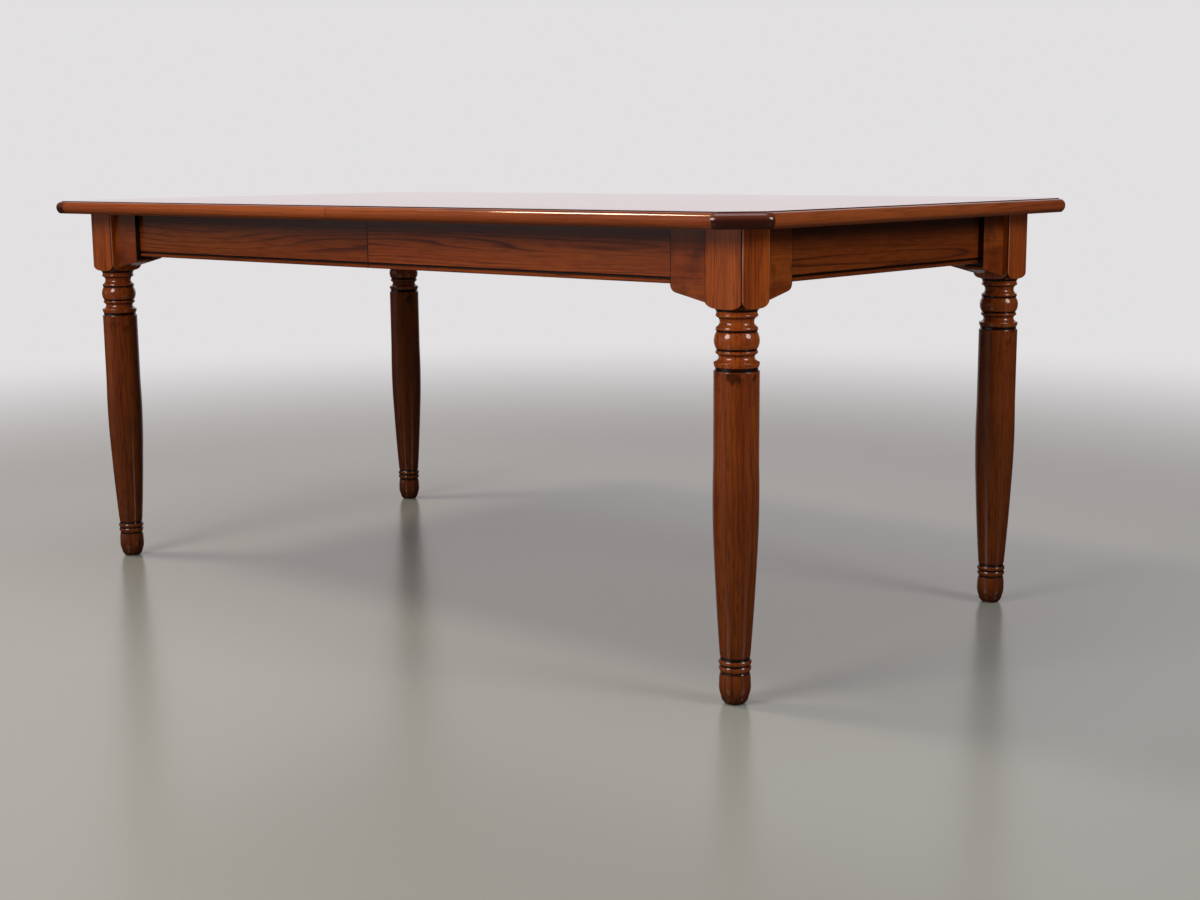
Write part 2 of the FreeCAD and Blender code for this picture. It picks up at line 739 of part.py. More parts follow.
def corner_block(name, side, end):
    """A diagonal block between the rails behind a leg, drilled for the hanger bolt."""
    body = body_named("corner_block_" + name)
    near = s.corner_block_setback
    far = near + s.corner_block_thickness * math.sqrt(2)
    points = [
        ((RAIL_INNER_X - near) * side, RAIL_INNER_Y * end, 0),
        ((RAIL_INNER_X - far) * side, RAIL_INNER_Y * end, 0),
        (RAIL_INNER_X * side, (RAIL_INNER_Y - far) * end, 0),
        (RAIL_INNER_X * side, (RAIL_INNER_Y - near) * end, 0),
    ]
    add(body, "XY", UNDERSIDE - s.corner_block_height, UNDERSIDE, points)
    sketch = sketch_on(body, "XZ", ZERO)
    spin = 45 if side * end < 0 else -45
    sketch.AttachmentOffset = FreeCAD.Placement(V(0, 0, 0), FreeCAD.Rotation(V(0, 1, 0), spin))
    sketch.setExpression("AttachmentOffset.Base.x", (LEG_X * side).text)
    sketch.setExpression("AttachmentOffset.Base.z", (LEG_Y * -end).text)
    draw_circles(sketch, [(ZERO, BOLT_Z)], s.hanger_bolt_diameter + s.hole_clearance * 2)
    hole = pocket(body, sketch, ZERO, (near + far) * 2)
    hole.Reversed = end > 0
    return body


def hanger_bolt():
    """A hanger bolt along Z, wood thread end down, with a pointed tip."""
    body = master("hanger_bolt_pattern")
    radius = s.hanger_bolt_diameter / 2
    tip = radius * BOLT_TIP_SHARE
    chamfer = radius * BOLT_CHAMFER_SHARE
    turn(body, [
        (ZERO, ZERO, 0),
        (radius * POINT_SHARE, ZERO, 0),
        (radius, tip, 0),
        (radius, s.hanger_bolt_length - chamfer, 0),
        (radius - chamfer, s.hanger_bolt_length, 0),
        (ZERO, s.hanger_bolt_length, 0),
    ])
    return body


def wing_nut():
    """A flanged wing nut along Z, seated on its flange."""
    body = master("wing_nut_pattern")
    bore = s.hanger_bolt_diameter / 2 + s.hole_clearance
    flange = s.nut_flange_diameter / 2
    hub = s.nut_hub_diameter / 2
    turn(body, [
        (bore, ZERO, 0),
        (flange, ZERO, 0),
        (flange, s.nut_flange_thickness, 0),
        (hub, s.nut_flange_thickness, 0),
        (hub * NUT_HUB_TOP_SHARE, s.nut_hub_height, 0),
        (bore, s.nut_hub_height, 0),
    ])
    half = s.nut_wing_thickness / 2
    span = s.nut_wing_span / 2
    for way in (-1, 1):
        inner = (bore + hub * NUT_HUB_TOP_SHARE) / 2
        wing = [
            (inner * way, s.nut_flange_thickness, 0),
            (hub * (NUT_WING_ROOT_SHARE * way), s.nut_flange_thickness, 0),
            (span * way, s.nut_wing_height * NUT_WING_SHOULDER_SHARE, NUT_WING_BULGE * way),
            (span * (NUT_WING_CREST_SHARE * way), s.nut_wing_height, 0),
            (inner * way, s.nut_hub_height * NUT_WING_SEAT_SHARE, 0),
        ]
        add(body, "XZ", -half, half, wing)
    return body


def screw(name, diameter, length, head_diameter, head_height):
    """A pan head wood screw along Z, tip up, head below zero."""
    body = master(name)
    radius = diameter / 2
    head = head_diameter / 2
    turn(body, [
        (ZERO, -head_height, 0),
        (head * HEAD_CROWN_SHARE, -head_height, HEAD_BULGE),
        (head, -head_height * HEAD_RIM_SHARE, 0),
        (head, ZERO, 0),
        (radius, ZERO, 0),
        (radius, length - diameter, 0),
        (radius * POINT_SHARE, length, 0),
        (ZERO, length, 0),
    ])
    return body


def bracket():
    """An angle bracket, one leg up against the top, the other against a rail on its +Y side."""
    body = master("bracket_pattern")
    leg_size = s.bracket_leg
    thin = s.bracket_thickness
    half = s.bracket_width / 2
    reach = leg_size * BRACKET_SCREW_SHARE
    add(body, "YZ", -half, half, [
        (reach, ZERO, 0),
        (reach - leg_size, ZERO, 0),
        (reach - leg_size, -thin, 0),
        (reach - thin * 2, -thin, -QUARTER_TURN),
        (reach - thin, -thin * 2, 0),
        (reach - thin, -leg_size, 0),
        (reach, -leg_size, 0),
    ])
    hole = s.small_screw_diameter + s.hole_clearance * 4
    drill(body, "XY", -thin * 2, thin, [(ZERO, ZERO)], hole)
    drill(body, "XZ", reach - thin * 2, reach + thin, [(ZERO, -reach)], hole)
    return body


def runner(name, side, end):
    """A slide runner under one half top, with a stopped T groove for the centre runner's tongue."""
    body = body_named("runner_" + name)
    middle = runner_centre(side, end)
    half = s.runner_width / 2
    low, high = (-RUNNER_INNER_END, RUNNER_OUTER_END)
    if side < 0:
        low, high = (-RUNNER_OUTER_END, RUNNER_INNER_END)
    nose = s.runner_relief * NOSE_RELIEFS
    tail = low if side > 0 else high
    outer = high if side > 0 else low
    chamfered = [
        (outer, RUNNER_FOOT, 0),
        (outer, UNDERSIDE, 0),
        (-JOINT * side, UNDERSIDE, 0),
        (-JOINT * side, UNDERSIDE - s.runner_relief, 0),
        (tail + nose * side, UNDERSIDE - s.runner_relief, 0),
        (tail, UNDERSIDE - s.runner_relief - nose, 0),
        (tail, RUNNER_FOOT, 0),
    ]
    add(body, "XZ", middle - half, middle + half, chamfered)
    face = (CENTRE_Y - (CENTRE_HALF + s.runner_gap) * side) * end
    away = -side * end
    play = s.tongue_clearance
    neck_depth = s.tongue_neck - play
    head_depth = s.tongue_neck + s.tongue_head + play
    neck_half = s.tongue_neck_height / 2 + play
    head_half = s.tongue_head_height / 2 + play
    groove = [
        (face - s.cut_overrun * away, TONGUE_Z - neck_half, 0),
        (face + neck_depth * away, TONGUE_Z - neck_half, 0),
        (face + neck_depth * away, TONGUE_Z - head_half, 0),
        (face + head_depth * away, TONGUE_Z - head_half, 0),
        (face + head_depth * away, TONGUE_Z + head_half, 0),
        (face + neck_depth * away, TONGUE_Z + head_half, 0),
        (face + neck_depth * away, TONGUE_Z + neck_half, 0),
        (face - s.cut_overrun * away, TONGUE_Z + neck_half, 0),
    ]
    stretch = (-SLOT_END, RUNNER_OUTER_END + s.cut_overrun)
    low, high = stretch if side > 0 else (-stretch[1], -stretch[0])
    cut(body, "YZ", low, high, groove)
    centres = [(x, runner_screw_y(side, end)) for x in runner_screw_places(side)]
    seat = RUNNER_FOOT + s.runner_height / 2
    over = s.cut_overrun
    play = s.hole_clearance * 2
    drill(body, "XY", RUNNER_FOOT - over, seat, centres, s.long_screw_head_diameter + play * 2)
    drill(body, "XY", seat - over, UNDERSIDE + over, centres, s.long_screw_diameter + play)
    return body


def rack(name, side, end):
    """A rack under a runner: a strip with a row of straight sided teeth towards the pinion."""
    body = body_named("rack_" + name)
    away = -side * end
    pitch_y = CENTRE_Y * end + PITCH_RADIUS * away
    depth = DEDENDUM - s.gear_module * RACK_DEDENDUM_CUT
    root = pitch_y + depth * away
    back = root + s.rack_back * away
    tip = pitch_y - ADDENDUM * away
    start = s.rack_overrun * side
    finish = -(TRAVEL + s.rack_overrun) * side
    low, high = (finish, start) if side > 0 else (start, finish)
    foot = RUNNER_FOOT - s.gear_height
    v_low, v_high = (root, back) if away > 0 else (back, root)
    add(body, "XY", foot, RUNNER_FOOT, rectangle(low, high, v_low, v_high))
    slope = math.tan(PRESSURE_ANGLE)
    half_pitch = TOOTH_PITCH / 4 - s.gear_backlash / 4
    half_root = half_pitch + depth * slope
    half_tip = half_pitch - ADDENDUM * slope
    bite = root + s.rack_back * (TOOTH_SINK_SHARE * away)
    start_tooth = math.floor(((s.rack_overrun - half_root) / TOOTH_PITCH).value)
    end_tooth = math.floor(((s.rack_overrun + TRAVEL - half_root) / TOOTH_PITCH).value)
    first = TOOTH_PITCH * (start_tooth * side)
    tooth = [
        (first - half_root, bite, 0),
        (first - half_root, root, 0),
        (first - half_tip, tip, 0),
        (first + half_tip, tip, 0),
        (first + half_root, root, 0),
        (first + half_root, bite, 0),
    ]
    pad = add(body, "XY", foot, RUNNER_FOOT, tooth)
    row = body.newObject("PartDesign::LinearPattern", "Teeth")
    row.Originals = [pad]
    axis = [o for o in body.Origin.OriginFeatures if o.Role == "X_Axis"][0]
    row.Direction = (axis, [""])
    row.Reversed = side > 0
    row.Occurrences = start_tooth + end_tooth + 1
    row.setExpression("Length", (TOOTH_PITCH * (start_tooth + end_tooth)).text)
    body.Tip = row
    return body


def involute_half_angle(radius_share):
    """Half the angle of a tooth at a radius, as for a tooth without backlash."""
    base_share = math.cos(PRESSURE_ANGLE)
    spread = math.acos(min(1.0, base_share / radius_share))
    at_pitch = math.tan(PRESSURE_ANGLE) - PRESSURE_ANGLE
    return math.pi / (2 * PINION_TEETH) + at_pitch - (math.tan(spread) - spread)


def pinion(name, end):
    """The pinion between two racks: a hub disc with involute teeth and a bore."""
    body = body_named("pinion_" + name)
    foot = RUNNER_FOOT - s.gear_height
    root = PITCH_RADIUS - DEDENDUM
    sketch = sketch_on(body, "XY", foot)
    draw_circles(sketch, [(ZERO, ZERO)], root * 2)
    draw_circles(sketch, [(ZERO, ZERO)], s.axle_diameter + s.axle_clearance * 2)
    disc = body.newObject("PartDesign::Pad", "Disc")
    disc.Profile = sketch
    disc.setExpression("Length", (s.gear_height - s.pinion_gap).text)
    thin = s.gear_backlash / 4
    flank = []
    for radius_share in (math.cos(PRESSURE_ANGLE), 1 + (ADDENDUM / PITCH_RADIUS).value):
        angle = involute_half_angle(radius_share)
        u = PITCH_RADIUS * (radius_share * math.sin(angle)) - thin
        v = PITCH_RADIUS * (radius_share * math.cos(angle))
        flank.append((u, v))
    (base_u, base_v), (tip_u, tip_v) = flank
    outline = [
        (-base_u, root * PINION_ROOT_SINK_SHARE, 0),
        (base_u, root * PINION_ROOT_SINK_SHARE, 0),
        (base_u, base_v, TOOTH_FLANK_BULGE),
        (tip_u, tip_v, 0),
        (-tip_u, tip_v, TOOTH_FLANK_BULGE),
        (-base_u, base_v, 0),
    ]
    pad = add(body, "XY", foot, RUNNER_FOOT - s.pinion_gap, outline)
    ring = body.newObject("PartDesign::PolarPattern", "Teeth")
    ring.Originals = [pad]
    axis = [o for o in body.Origin.OriginFeatures if o.Role == "Z_Axis"][0]
    ring.Axis = (axis, [""])
    ring.Angle = 360
    ring.Occurrences = PINION_TEETH
    body.Tip = ring
    place(body, ZERO, CENTRE_Y * end, ZERO, 180 / PINION_TEETH)
    return body


def centre_runner(name, end):
    """A centre runner with a T tongue on each side and a notch for the pinion."""
    body = body_named("centre_runner_" + name)
    middle = CENTRE_Y * end
    reach = s.centre_runner_reach
    add(body, "YZ", -reach, reach,
        rectangle(middle - CENTRE_HALF, middle + CENTRE_HALF, CENTRE_RUNNER_FOOT, CENTRE_RUNNER_HEAD))
    for side in (-1, 1):
        away = -side * end
        face = middle + CENTRE_HALF * away
        neck_half = s.tongue_neck_height / 2
        head_half = s.tongue_head_height / 2
        neck = face + (s.runner_gap + s.tongue_neck) * away
        head = neck + s.tongue_head * away
        tongue = [
            (middle, TONGUE_Z - neck_half, 0),
            (neck, TONGUE_Z - neck_half, 0),
            (neck, TONGUE_Z - head_half, 0),
            (head, TONGUE_Z - head_half, 0),
            (head, TONGUE_Z + head_half, 0),
            (neck, TONGUE_Z + head_half, 0),
            (neck, TONGUE_Z + neck_half, 0),
            (middle, TONGUE_Z + neck_half, 0),
        ]
        low, high = (-TONGUE_END, reach) if side > 0 else (-reach, TONGUE_END)
        add(body, "YZ", low, high, tongue)
    half_notch = s.pinion_notch_length / 2
    ceiling = CENTRE_RUNNER_FOOT + s.pinion_notch_height
    width = CENTRE_HALF + s.cut_overrun
    cut(body, "XZ", middle - width, middle + width,
        rectangle(-half_notch, half_notch, CENTRE_RUNNER_FOOT - s.cut_overrun, ceiling))
    drill(body, "XY", ceiling - s.cut_overrun, ceiling + s.axle_thread_length, [(ZERO, middle)],
          s.axle_thread_diameter + s.hole_clearance * 2)
    depth = s.bearer_screw_length - s.bearer_thickness + s.hole_clearance
    drill(body, "XY", CENTRE_RUNNER_FOOT - s.cut_overrun, CENTRE_RUNNER_FOOT + depth,
          [(s.bearer_place * way, middle) for way in (-1, 1)], s.long_screw_diameter + s.hole_clearance * 2)
    return body


def pinion_screw():
    """A shoulder screw along Z: head below, smooth shank in the pinion, thread above."""
    body = master("pinion_screw_pattern")
    foot = RUNNER_FOOT - s.gear_height - s.pinion_gap
    ceiling = CENTRE_RUNNER_FOOT + s.pinion_notch_height
    thread = s.axle_thread_diameter / 2
    turn(body, [
        (ZERO, foot - s.axle_head_height, 0),
        (s.axle_head_diameter / 2, foot - s.axle_head_height, 0),
        (s.axle_head_diameter / 2, foot, 0),
        (s.axle_diameter / 2, foot, 0),
        (s.axle_diameter / 2, ceiling, 0),
        (thread, ceiling, 0),
        (thread, ceiling + s.axle_thread_length - thread * 2, 0),
        (thread * POINT_SHARE, ceiling + s.axle_thread_length - s.hole_clearance, 0),
        (ZERO, ceiling + s.axle_thread_length - s.hole_clearance, 0),
    ])
    return body


def hook_screw(name, collar, shank):
    """A screw under the top: collar or plain shank down to the hook, and a head below it."""
    body = master(name)
    thread = s.axle_thread_diameter / 2
    head = s.axle_head_diameter / 2
    head_top = HOOK_FOOT - s.hook_gap
    outline = [
        (ZERO, head_top - s.axle_head_height, 0),
        (head * HEAD_CROWN_SHARE, head_top - s.axle_head_height, HEAD_BULGE),
        (head, head_top - s.axle_head_height * HEAD_RIM_SHARE, 0),
        (head, head_top, 0),
        (shank / 2, head_top, 0),
    ]
    if collar.value > shank.value:
        outline.append((shank / 2, HOOK_HEAD + s.hook_gap, 0))
        outline.append((collar / 2, HOOK_HEAD + s.hook_gap, 0))
        outline.append((collar / 2, UNDERSIDE, 0))
    else:
        outline.append((shank / 2, UNDERSIDE, 0))
    outline.append((thread, UNDERSIDE, 0))
    outline.append((thread, UNDERSIDE + s.small_screw_length - thread * 2, 0))
    outline.append((thread * POINT_SHARE, UNDERSIDE + s.small_screw_length - s.hole_clearance, 0))
    outline.append((ZERO, UNDERSIDE + s.small_screw_length - s.hole_clearance, 0))
    turn(body, outline)
    return body


def table_hook(name, end):
    """A swinging hook under the joint, drawn unlocked with its arm towards the middle."""
    body = body_named("hook_" + name)
    half = s.hook_arm_width / 2
    slot_half = s.keeper_diameter / 2 + s.pin_clearance
    tip = HOOK_REACH + slot_half + s.hook_jaw
    shoulder = HOOK_REACH - s.hook_head_length
    back = half + s.hook_jaw
    points = [
        (-half, ZERO, HALF_TURN),
        (half, ZERO, 0),
        (half, tip - half, QUARTER_TURN),
        (ZERO, tip, 0),
        (-half, tip, QUARTER_TURN),
        (-back, tip - s.hook_jaw, 0),
        (-back, shoulder + s.hook_jaw, 0),
        (-half, shoulder, 0),
    ]
    sign = -end
    add(body, "XY", HOOK_FOOT, HOOK_HEAD, [(u, v * sign, b * sign) for u, v, b in points])
    inner = HOOK_REACH - slot_half
    outer = HOOK_REACH + slot_half
    turned = math.atan2(s.hook_arm_width.value, HOOK_REACH.value)
    run_share = math.sin(turned)
    rise_share = math.cos(turned)
    slot = [
        (inner * run_share, inner * rise_share, math.tan(turned / 4)),
        (ZERO, inner, 0),
        (-slot_half, inner, 0),
        (-slot_half, outer, 0),
        (ZERO, outer, -math.tan(turned / 4)),
        (outer * run_share, outer * rise_share, 0),
    ]
    cut(body, "XY", HOOK_FOOT - s.cut_overrun, HOOK_HEAD + s.cut_overrun,
        [(u, v * sign, b * sign) for u, v, b in slot])
    drill(body, "XY", HOOK_FOOT - s.cut_overrun, HOOK_HEAD + s.cut_overrun, [(ZERO, ZERO)],
          s.axle_diameter + s.axle_clearance * 2)
    knob = sketch_on(body, "XY", HOOK_FOOT - s.hook_knob_height)
    draw_circles(knob, [(-half, (shoulder + s.hook_knob_diameter) * sign)], s.hook_knob_diameter)
    pad = body.newObject("PartDesign::Pad", "Knob")
    pad.Profile = knob
    pad.setExpression("Length", (s.hook_knob_height + s.hook_thickness / 2).text)
    place(body, -s.hook_pivot_place, HOOK_Y * end, ZERO)
    return body


def bearer(name, side):
    """A cross bearer under the centre runners that carries the stored leaf."""
    body = body_named("leaf_bearer_" + name)
    half = s.bearer_width / 2
    reach = CENTRE_Y + CENTRE_HALF
    middle = s.bearer_place * side
    add(body, "XY", CENTRE_RUNNER_FOOT - s.bearer_thickness, CENTRE_RUNNER_FOOT,
        rectangle(middle - half, middle + half, -reach, reach))
    drill(body, "XY", CENTRE_RUNNER_FOOT - s.bearer_thickness - s.cut_overrun,
          CENTRE_RUNNER_FOOT + s.cut_overrun, [(middle, CENTRE_Y * end) for end in (-1, 1)],
          s.long_screw_diameter + s.hole_clearance * 2)
    return body


def leaf():
    """The stored leaf, lengthwise on the bearers, with moulded ends and bored long edges."""
    body = body_named("leaf")
    left = edge_profile(-HALF_WIDTH, LEAF_FOOT, s.rim_width)[2:]
    outline = left + [(-u, v, -b) for u, v, b in reversed(left)]
    bulges = [0, QUARTER_TURN, LOWER_EDGE_BULGE, 0, LOWER_EDGE_BULGE, QUARTER_TURN, 0, 0]
    outline = [(u, v, bulge) for (u, v, _), bulge in zip(outline, bulges)]
    add(body, "XZ", -LEAF_HALF, LEAF_HALF, outline)
    middle = LEAF_FOOT + s.top_thickness / 2
    centres = [(along, middle) for along in pin_places()]
    over = s.cut_overrun
    depth = s.pin_length - s.pin_reach
    drill(body, "XZ", LEAF_HALF - depth, LEAF_HALF + over, centres, s.pin_diameter + s.hole_clearance)
    socket = s.pin_reach + over
    drill(body, "XZ", -LEAF_HALF - over, socket - LEAF_HALF, centres, s.pin_diameter + s.pin_clearance * 2)
    return body


def dowel_pin():
    """An alignment pin along Z with chamfered ends."""
    body = master("dowel_pin_pattern")
    radius = s.pin_diameter / 2
    chamfer = radius * PIN_CHAMFER_SHARE
    turn(body, [
        (ZERO, ZERO, 0),
        (radius - chamfer, ZERO, 0),
        (radius, chamfer, 0),
        (radius, s.pin_length - chamfer, 0),
        (radius - chamfer, s.pin_length, 0),
        (ZERO, s.pin_length, 0),
    ])
    return body


def glide():
    """A foot glide: a disc under the leg with a spigot up into it."""
    body = master("glide_pattern")
    disc = s.glide_diameter / 2
    chamfer = s.glide_thickness * GLIDE_CHAMFER_SHARE
    spigot = s.glide_spigot_diameter / 2
    turn(body, [
        (ZERO, ZERO, 0),
        (disc - chamfer, ZERO, 0),
        (disc, chamfer, 0),
        (disc, s.glide_thickness, 0),
        (spigot, s.glide_thickness, 0),
        (spigot, s.glide_thickness + s.glide_spigot_length - spigot, 0),
        (spigot * POINT_SHARE, s.glide_thickness + s.glide_spigot_length - s.hole_clearance, 0),
        (ZERO, s.glide_thickness + s.glide_spigot_length - s.hole_clearance, 0),
    ])
    return body


BOLT = hanger_bolt()
NUT = wing_nut()
SMALL_SCREW = screw("small_screw_pattern", s.small_screw_diameter, s.small_screw_length,
                    s.small_screw_head_diameter, s.small_screw_head_height)
LONG_SCREW = screw("long_screw_pattern", s.long_screw_diameter, s.long_screw_length,
                   s.long_screw_head_diameter, s.long_screw_head_height)
BEARER_SCREW = screw("bearer_screw_pattern", s.long_screw_diameter, s.bearer_screw_length,
                     s.long_screw_head_diameter, s.long_screw_head_height)
BRACKET = bracket()
PIN = dowel_pin()
GLIDE = glide()
PIVOT_SCREW = hook_screw("hook_pivot_pattern", s.axle_head_diameter, s.axle_diameter)
KEEPER_SCREW = hook_screw("hook_keeper_pattern", s.keeper_diameter, s.keeper_diameter)
PINION_SCREW = pinion_screw()
LEG = leg()

for side_name, side in SIDES:
    half_top(side_name, side)
    end_rail(side_name, side)
    bolt_places = []
    nut_places = []
    for end_name, end in ENDS:
        corner = side_name + "_" + end_name
        spin = {(1, -1): 180, (1, 1): 270, (-1, 1): 0, (-1, -1): 90}[(side, end)]
        copy_of(LEG, "leg_" + corner, LEG_X * side, LEG_Y * end, ZERO, spin)
        side_rail(corner, side, end)
        ear(corner + "_side", "XZ", (LEG_X - BLOCK_HALF) * side, -side,
            (LEG_Y + s.rail_proud + s.ear_proud) * end, RAIL_INNER_Y * end)
        ear(corner + "_end", "YZ", (LEG_Y - BLOCK_HALF) * end, -end,
            (LEG_X + s.rail_proud + s.ear_proud) * side, RAIL_INNER_X * side)
        corner_block(corner, side, end)
        runner(corner, side, end)
        rack(corner, side, end)
        inward = V(end, -side, 0)
        bolt_start = (BLOCK_HALF * math.sqrt(2) - s.hanger_bolt_in_leg) / math.sqrt(2)
        bolt_places.append(((LEG_X - bolt_start) * side, (LEG_Y - bolt_start) * end, BOLT_Z, 90, inward))
        seat = (s.corner_block_setback + s.corner_block_thickness * math.sqrt(2)) / 2
        nut_places.append(((RAIL_INNER_X - seat) * side, (RAIL_INNER_Y - seat) * end, BOLT_Z, 90, inward))
    group("hanger_bolts_" + side_name, BOLT, bolt_places)
    group("wing_nuts_" + side_name, NUT, nut_places)
    foot_places = [(LEG_X * side, LEG_Y * end, ZERO, 0, UP) for _, end in ENDS]
    group("glides_" + side_name, GLIDE, foot_places)
    bracket_places = [(x, y, UNDERSIDE, angle, UP) for x, y, angle in bracket_top_places(side)]
    group("top_brackets_" + side_name, BRACKET, bracket_places)
    group("bracket_screws_" + side_name, SMALL_SCREW, bracket_screw_places(side))
    long_places = []
    for _, end in ENDS:
        for x in runner_screw_places(side):
            long_places.append((x, runner_screw_y(side, end), RUNNER_FOOT + s.runner_height / 2, 0, UP))
    group("runner_screws_" + side_name, LONG_SCREW, long_places)
    bearer(side_name, side)

for end_name, end in ENDS:
    centre_runner(end_name, end)
    pinion(end_name, end)
    table_hook(end_name, end)

pin_depth = s.pin_length - s.pin_reach
pin_middle = UNDERSIDE + s.top_thickness / 2
group("alignment_pins", PIN, [(JOINT + pin_depth, y, pin_middle, 90, V(0, -1, 0)) for y in pin_places()])
leaf()
leaf_middle = LEAF_FOOT + s.top_thickness / 2
leaf_pin_y = LEAF_HALF - pin_depth
group("leaf_pins", PIN, [(x, leaf_pin_y, leaf_middle, 90, V(-1, 0, 0)) for x in pin_places()])
group("pinion_screws", PINION_SCREW, [(ZERO, CENTRE_Y * end, ZERO, 0, UP) for _, end in ENDS])
bearer_foot = CENTRE_RUNNER_FOOT - s.bearer_thickness
bearer_screw_places = []
for _, side in SIDES:
    for _, end in ENDS:
        bearer_screw_places.append((s.bearer_place * side, CENTRE_Y * end, bearer_foot, 0, UP))
group("bearer_screws", BEARER_SCREW, bearer_screw_places)
group("hook_pivots", PIVOT_SCREW, [(-s.hook_pivot_place, HOOK_Y * end, ZERO, 0, UP) for _, end in ENDS])
group("hook_keepers", KEEPER_SCREW, [(s.hook_pivot_place, HOOK_Y * end, ZERO, 0, UP) for _, end in ENDS])

DOC.recompute()
for thing in DOC.Objects:
    if "Invalid" in thing.State or "Error" in thing.State:
        raise RuntimeError("%s (%s) failed: %s" % (thing.Name, thing.Label, thing.State))
    if thing.TypeId == "PartDesign::Pocket":
        before = thing.BaseFeature.Shape.Volume
        if thing.Shape.Volume > before * (1 - LEAST_CUT_SHARE):
            raise RuntimeError("%s in %s cuts nothing" % (thing.Name, thing.getParentGeoFeatureGroup().Label))

os.makedirs("parts", exist_ok=True)
for part in PARTS:
    shape = part.Shape
    if shape.isNull() or not shape.isValid():
        raise RuntimeError("%s has no valid shape" % part.Label)
    shape.exportStep("parts/%s.step" % part.Label)
    box = shape.BoundBox
    print("%-28s solids %2d  volume %11.1f  z %6.1f to %6.1f" %
          (part.Label, len(shape.Solids), shape.Volume, box.ZMin, box.ZMax))
print(len(PARTS), "sub-parts")
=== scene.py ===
# %% [markdown]
# # An extending dining table, dressed for a photograph
#
# The model of the table comes from the CAD, piece by piece, at its real size in metres. This lesson gives
# each piece its finish: lacquered red-brown hardwood with a dark glaze and painted shade in the grooves,
# pale beech for the slides that nobody sees, moulded nylon and zinc plated steel. Then it lights the table
# the way a studio would and looks at it from the place where the photographer stood.

# %% Tools
import math

import bpy
from mathutils import Matrix, Vector


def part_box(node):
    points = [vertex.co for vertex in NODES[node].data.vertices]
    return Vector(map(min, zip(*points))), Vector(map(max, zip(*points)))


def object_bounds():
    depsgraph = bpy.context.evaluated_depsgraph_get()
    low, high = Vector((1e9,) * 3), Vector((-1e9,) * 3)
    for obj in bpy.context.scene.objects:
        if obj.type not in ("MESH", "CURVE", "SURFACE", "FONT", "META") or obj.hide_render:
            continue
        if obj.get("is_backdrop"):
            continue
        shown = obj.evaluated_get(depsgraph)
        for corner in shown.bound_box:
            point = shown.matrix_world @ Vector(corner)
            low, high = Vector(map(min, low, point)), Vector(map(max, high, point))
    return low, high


# %% [markdown] ## The pieces  A table is many parts, and so is its model: tops, legs, rails, slides and
# hardware each have a name. Each one's place is in its vertices, so Object coordinates are places in the
# table's own frame: X along the table, Y across it, Z up from the floor. The pieces could be unwrapped for
# patterns, but a pattern on Object coordinates needs no unwrapping and stays on its piece when the table
# is pulled open. The sizes that the finishes need are read from the pieces themselves.

# %% Load the pieces and read their sizes
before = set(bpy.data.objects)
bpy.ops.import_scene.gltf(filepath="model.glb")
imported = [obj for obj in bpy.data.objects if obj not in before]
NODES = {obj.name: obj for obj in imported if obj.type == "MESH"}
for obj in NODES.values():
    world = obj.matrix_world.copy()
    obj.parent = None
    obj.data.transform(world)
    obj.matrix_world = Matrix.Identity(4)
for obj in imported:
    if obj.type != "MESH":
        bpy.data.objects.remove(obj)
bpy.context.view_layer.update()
TOP_END, TOP_SIDE, TOP_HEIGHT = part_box("top_right")[1]
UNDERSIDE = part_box("top_right")[0][2]
RAIL_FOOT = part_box("side_rail_right_front")[0][2]
print("pieces:", len(NODES))
print("thickness of the top in millimetres:", round((TOP_HEIGHT - UNDERSIDE) * 1000))

# %% [markdown]
# ## Colours
#
# A stain or a paint is matched, so colours are written the way a screen shows them. Blender counts
# in linear light. The colour picker converts one colour at a time, and one function does it the same way
# for all of them. The formula is the sRGB curve: a short straight piece near black, then a power of 2.4.


# %% Screen colours to linear light
def linear(code):
    """A screen colour such as 7a3f28 as linear red, green, blue and alpha."""
    values = []
    for start in (0, 2, 4):
        value = int(code[start:start + 2], 16) / 255
        values.append(value / 12.92 if value <= 0.04045 else ((value + 0.055) / 1.055) ** 2.4)
    return (*values, 1.0)


print("middle grey in linear light:", round(linear("808080")[0], 3))

# %% [markdown]
# ## One helper for nodes
#
# A finish is a tree of nodes. Placing them by hand in the node editor works too, but code says in one line
# what a node takes and what it gives. `add` makes any node: a value that is a socket is linked, and a plain
# value is set. It gives back one output of the node, ready for the next one.


# %% Add a node
def add(tree, kind, values=(), out=0, **settings):
    """Add one node, fill its sockets by place or by name, and give back one of its outputs."""
    node = tree.nodes.new("ShaderNode" + kind)
    for name, value in settings.items():
        setattr(node, name, value)
    for key, value in values.items() if isinstance(values, dict) else enumerate(values):
        if isinstance(value, bpy.types.NodeSocket):
            tree.links.new(value, node.inputs[key])
        else:
            node.inputs[key].default_value = value
    return node.outputs[out] if node.outputs else None


def blank_material(name):
    """An empty material, its tree, and the place of each point: whole, and as X, Y and Z."""
    material = bpy.data.materials.new(name)
    material.use_nodes = True
    tree = material.node_tree
    tree.nodes.clear()
    place = add(tree, "TexCoord", out="Object")
    return material, tree, place, add(tree, "SeparateXYZ", [place]).node.outputs


print("kinds of shader node to add:", sum(kind.startswith("ShaderNode") for kind in dir(bpy.types)))

# %% [markdown]
# ## Where a finish changes, and how strongly
#
# A finisher works in places and layers: glaze from this height to that one, then wear on this edge. A
# painted mask could say where, but it would have to be painted again for each size of table. Two small
# recipes say it in numbers instead. `window` is a smooth range of a measure, such as height, and `paint`
# lays one colour over another where all its shares are high, because they are multiplied.


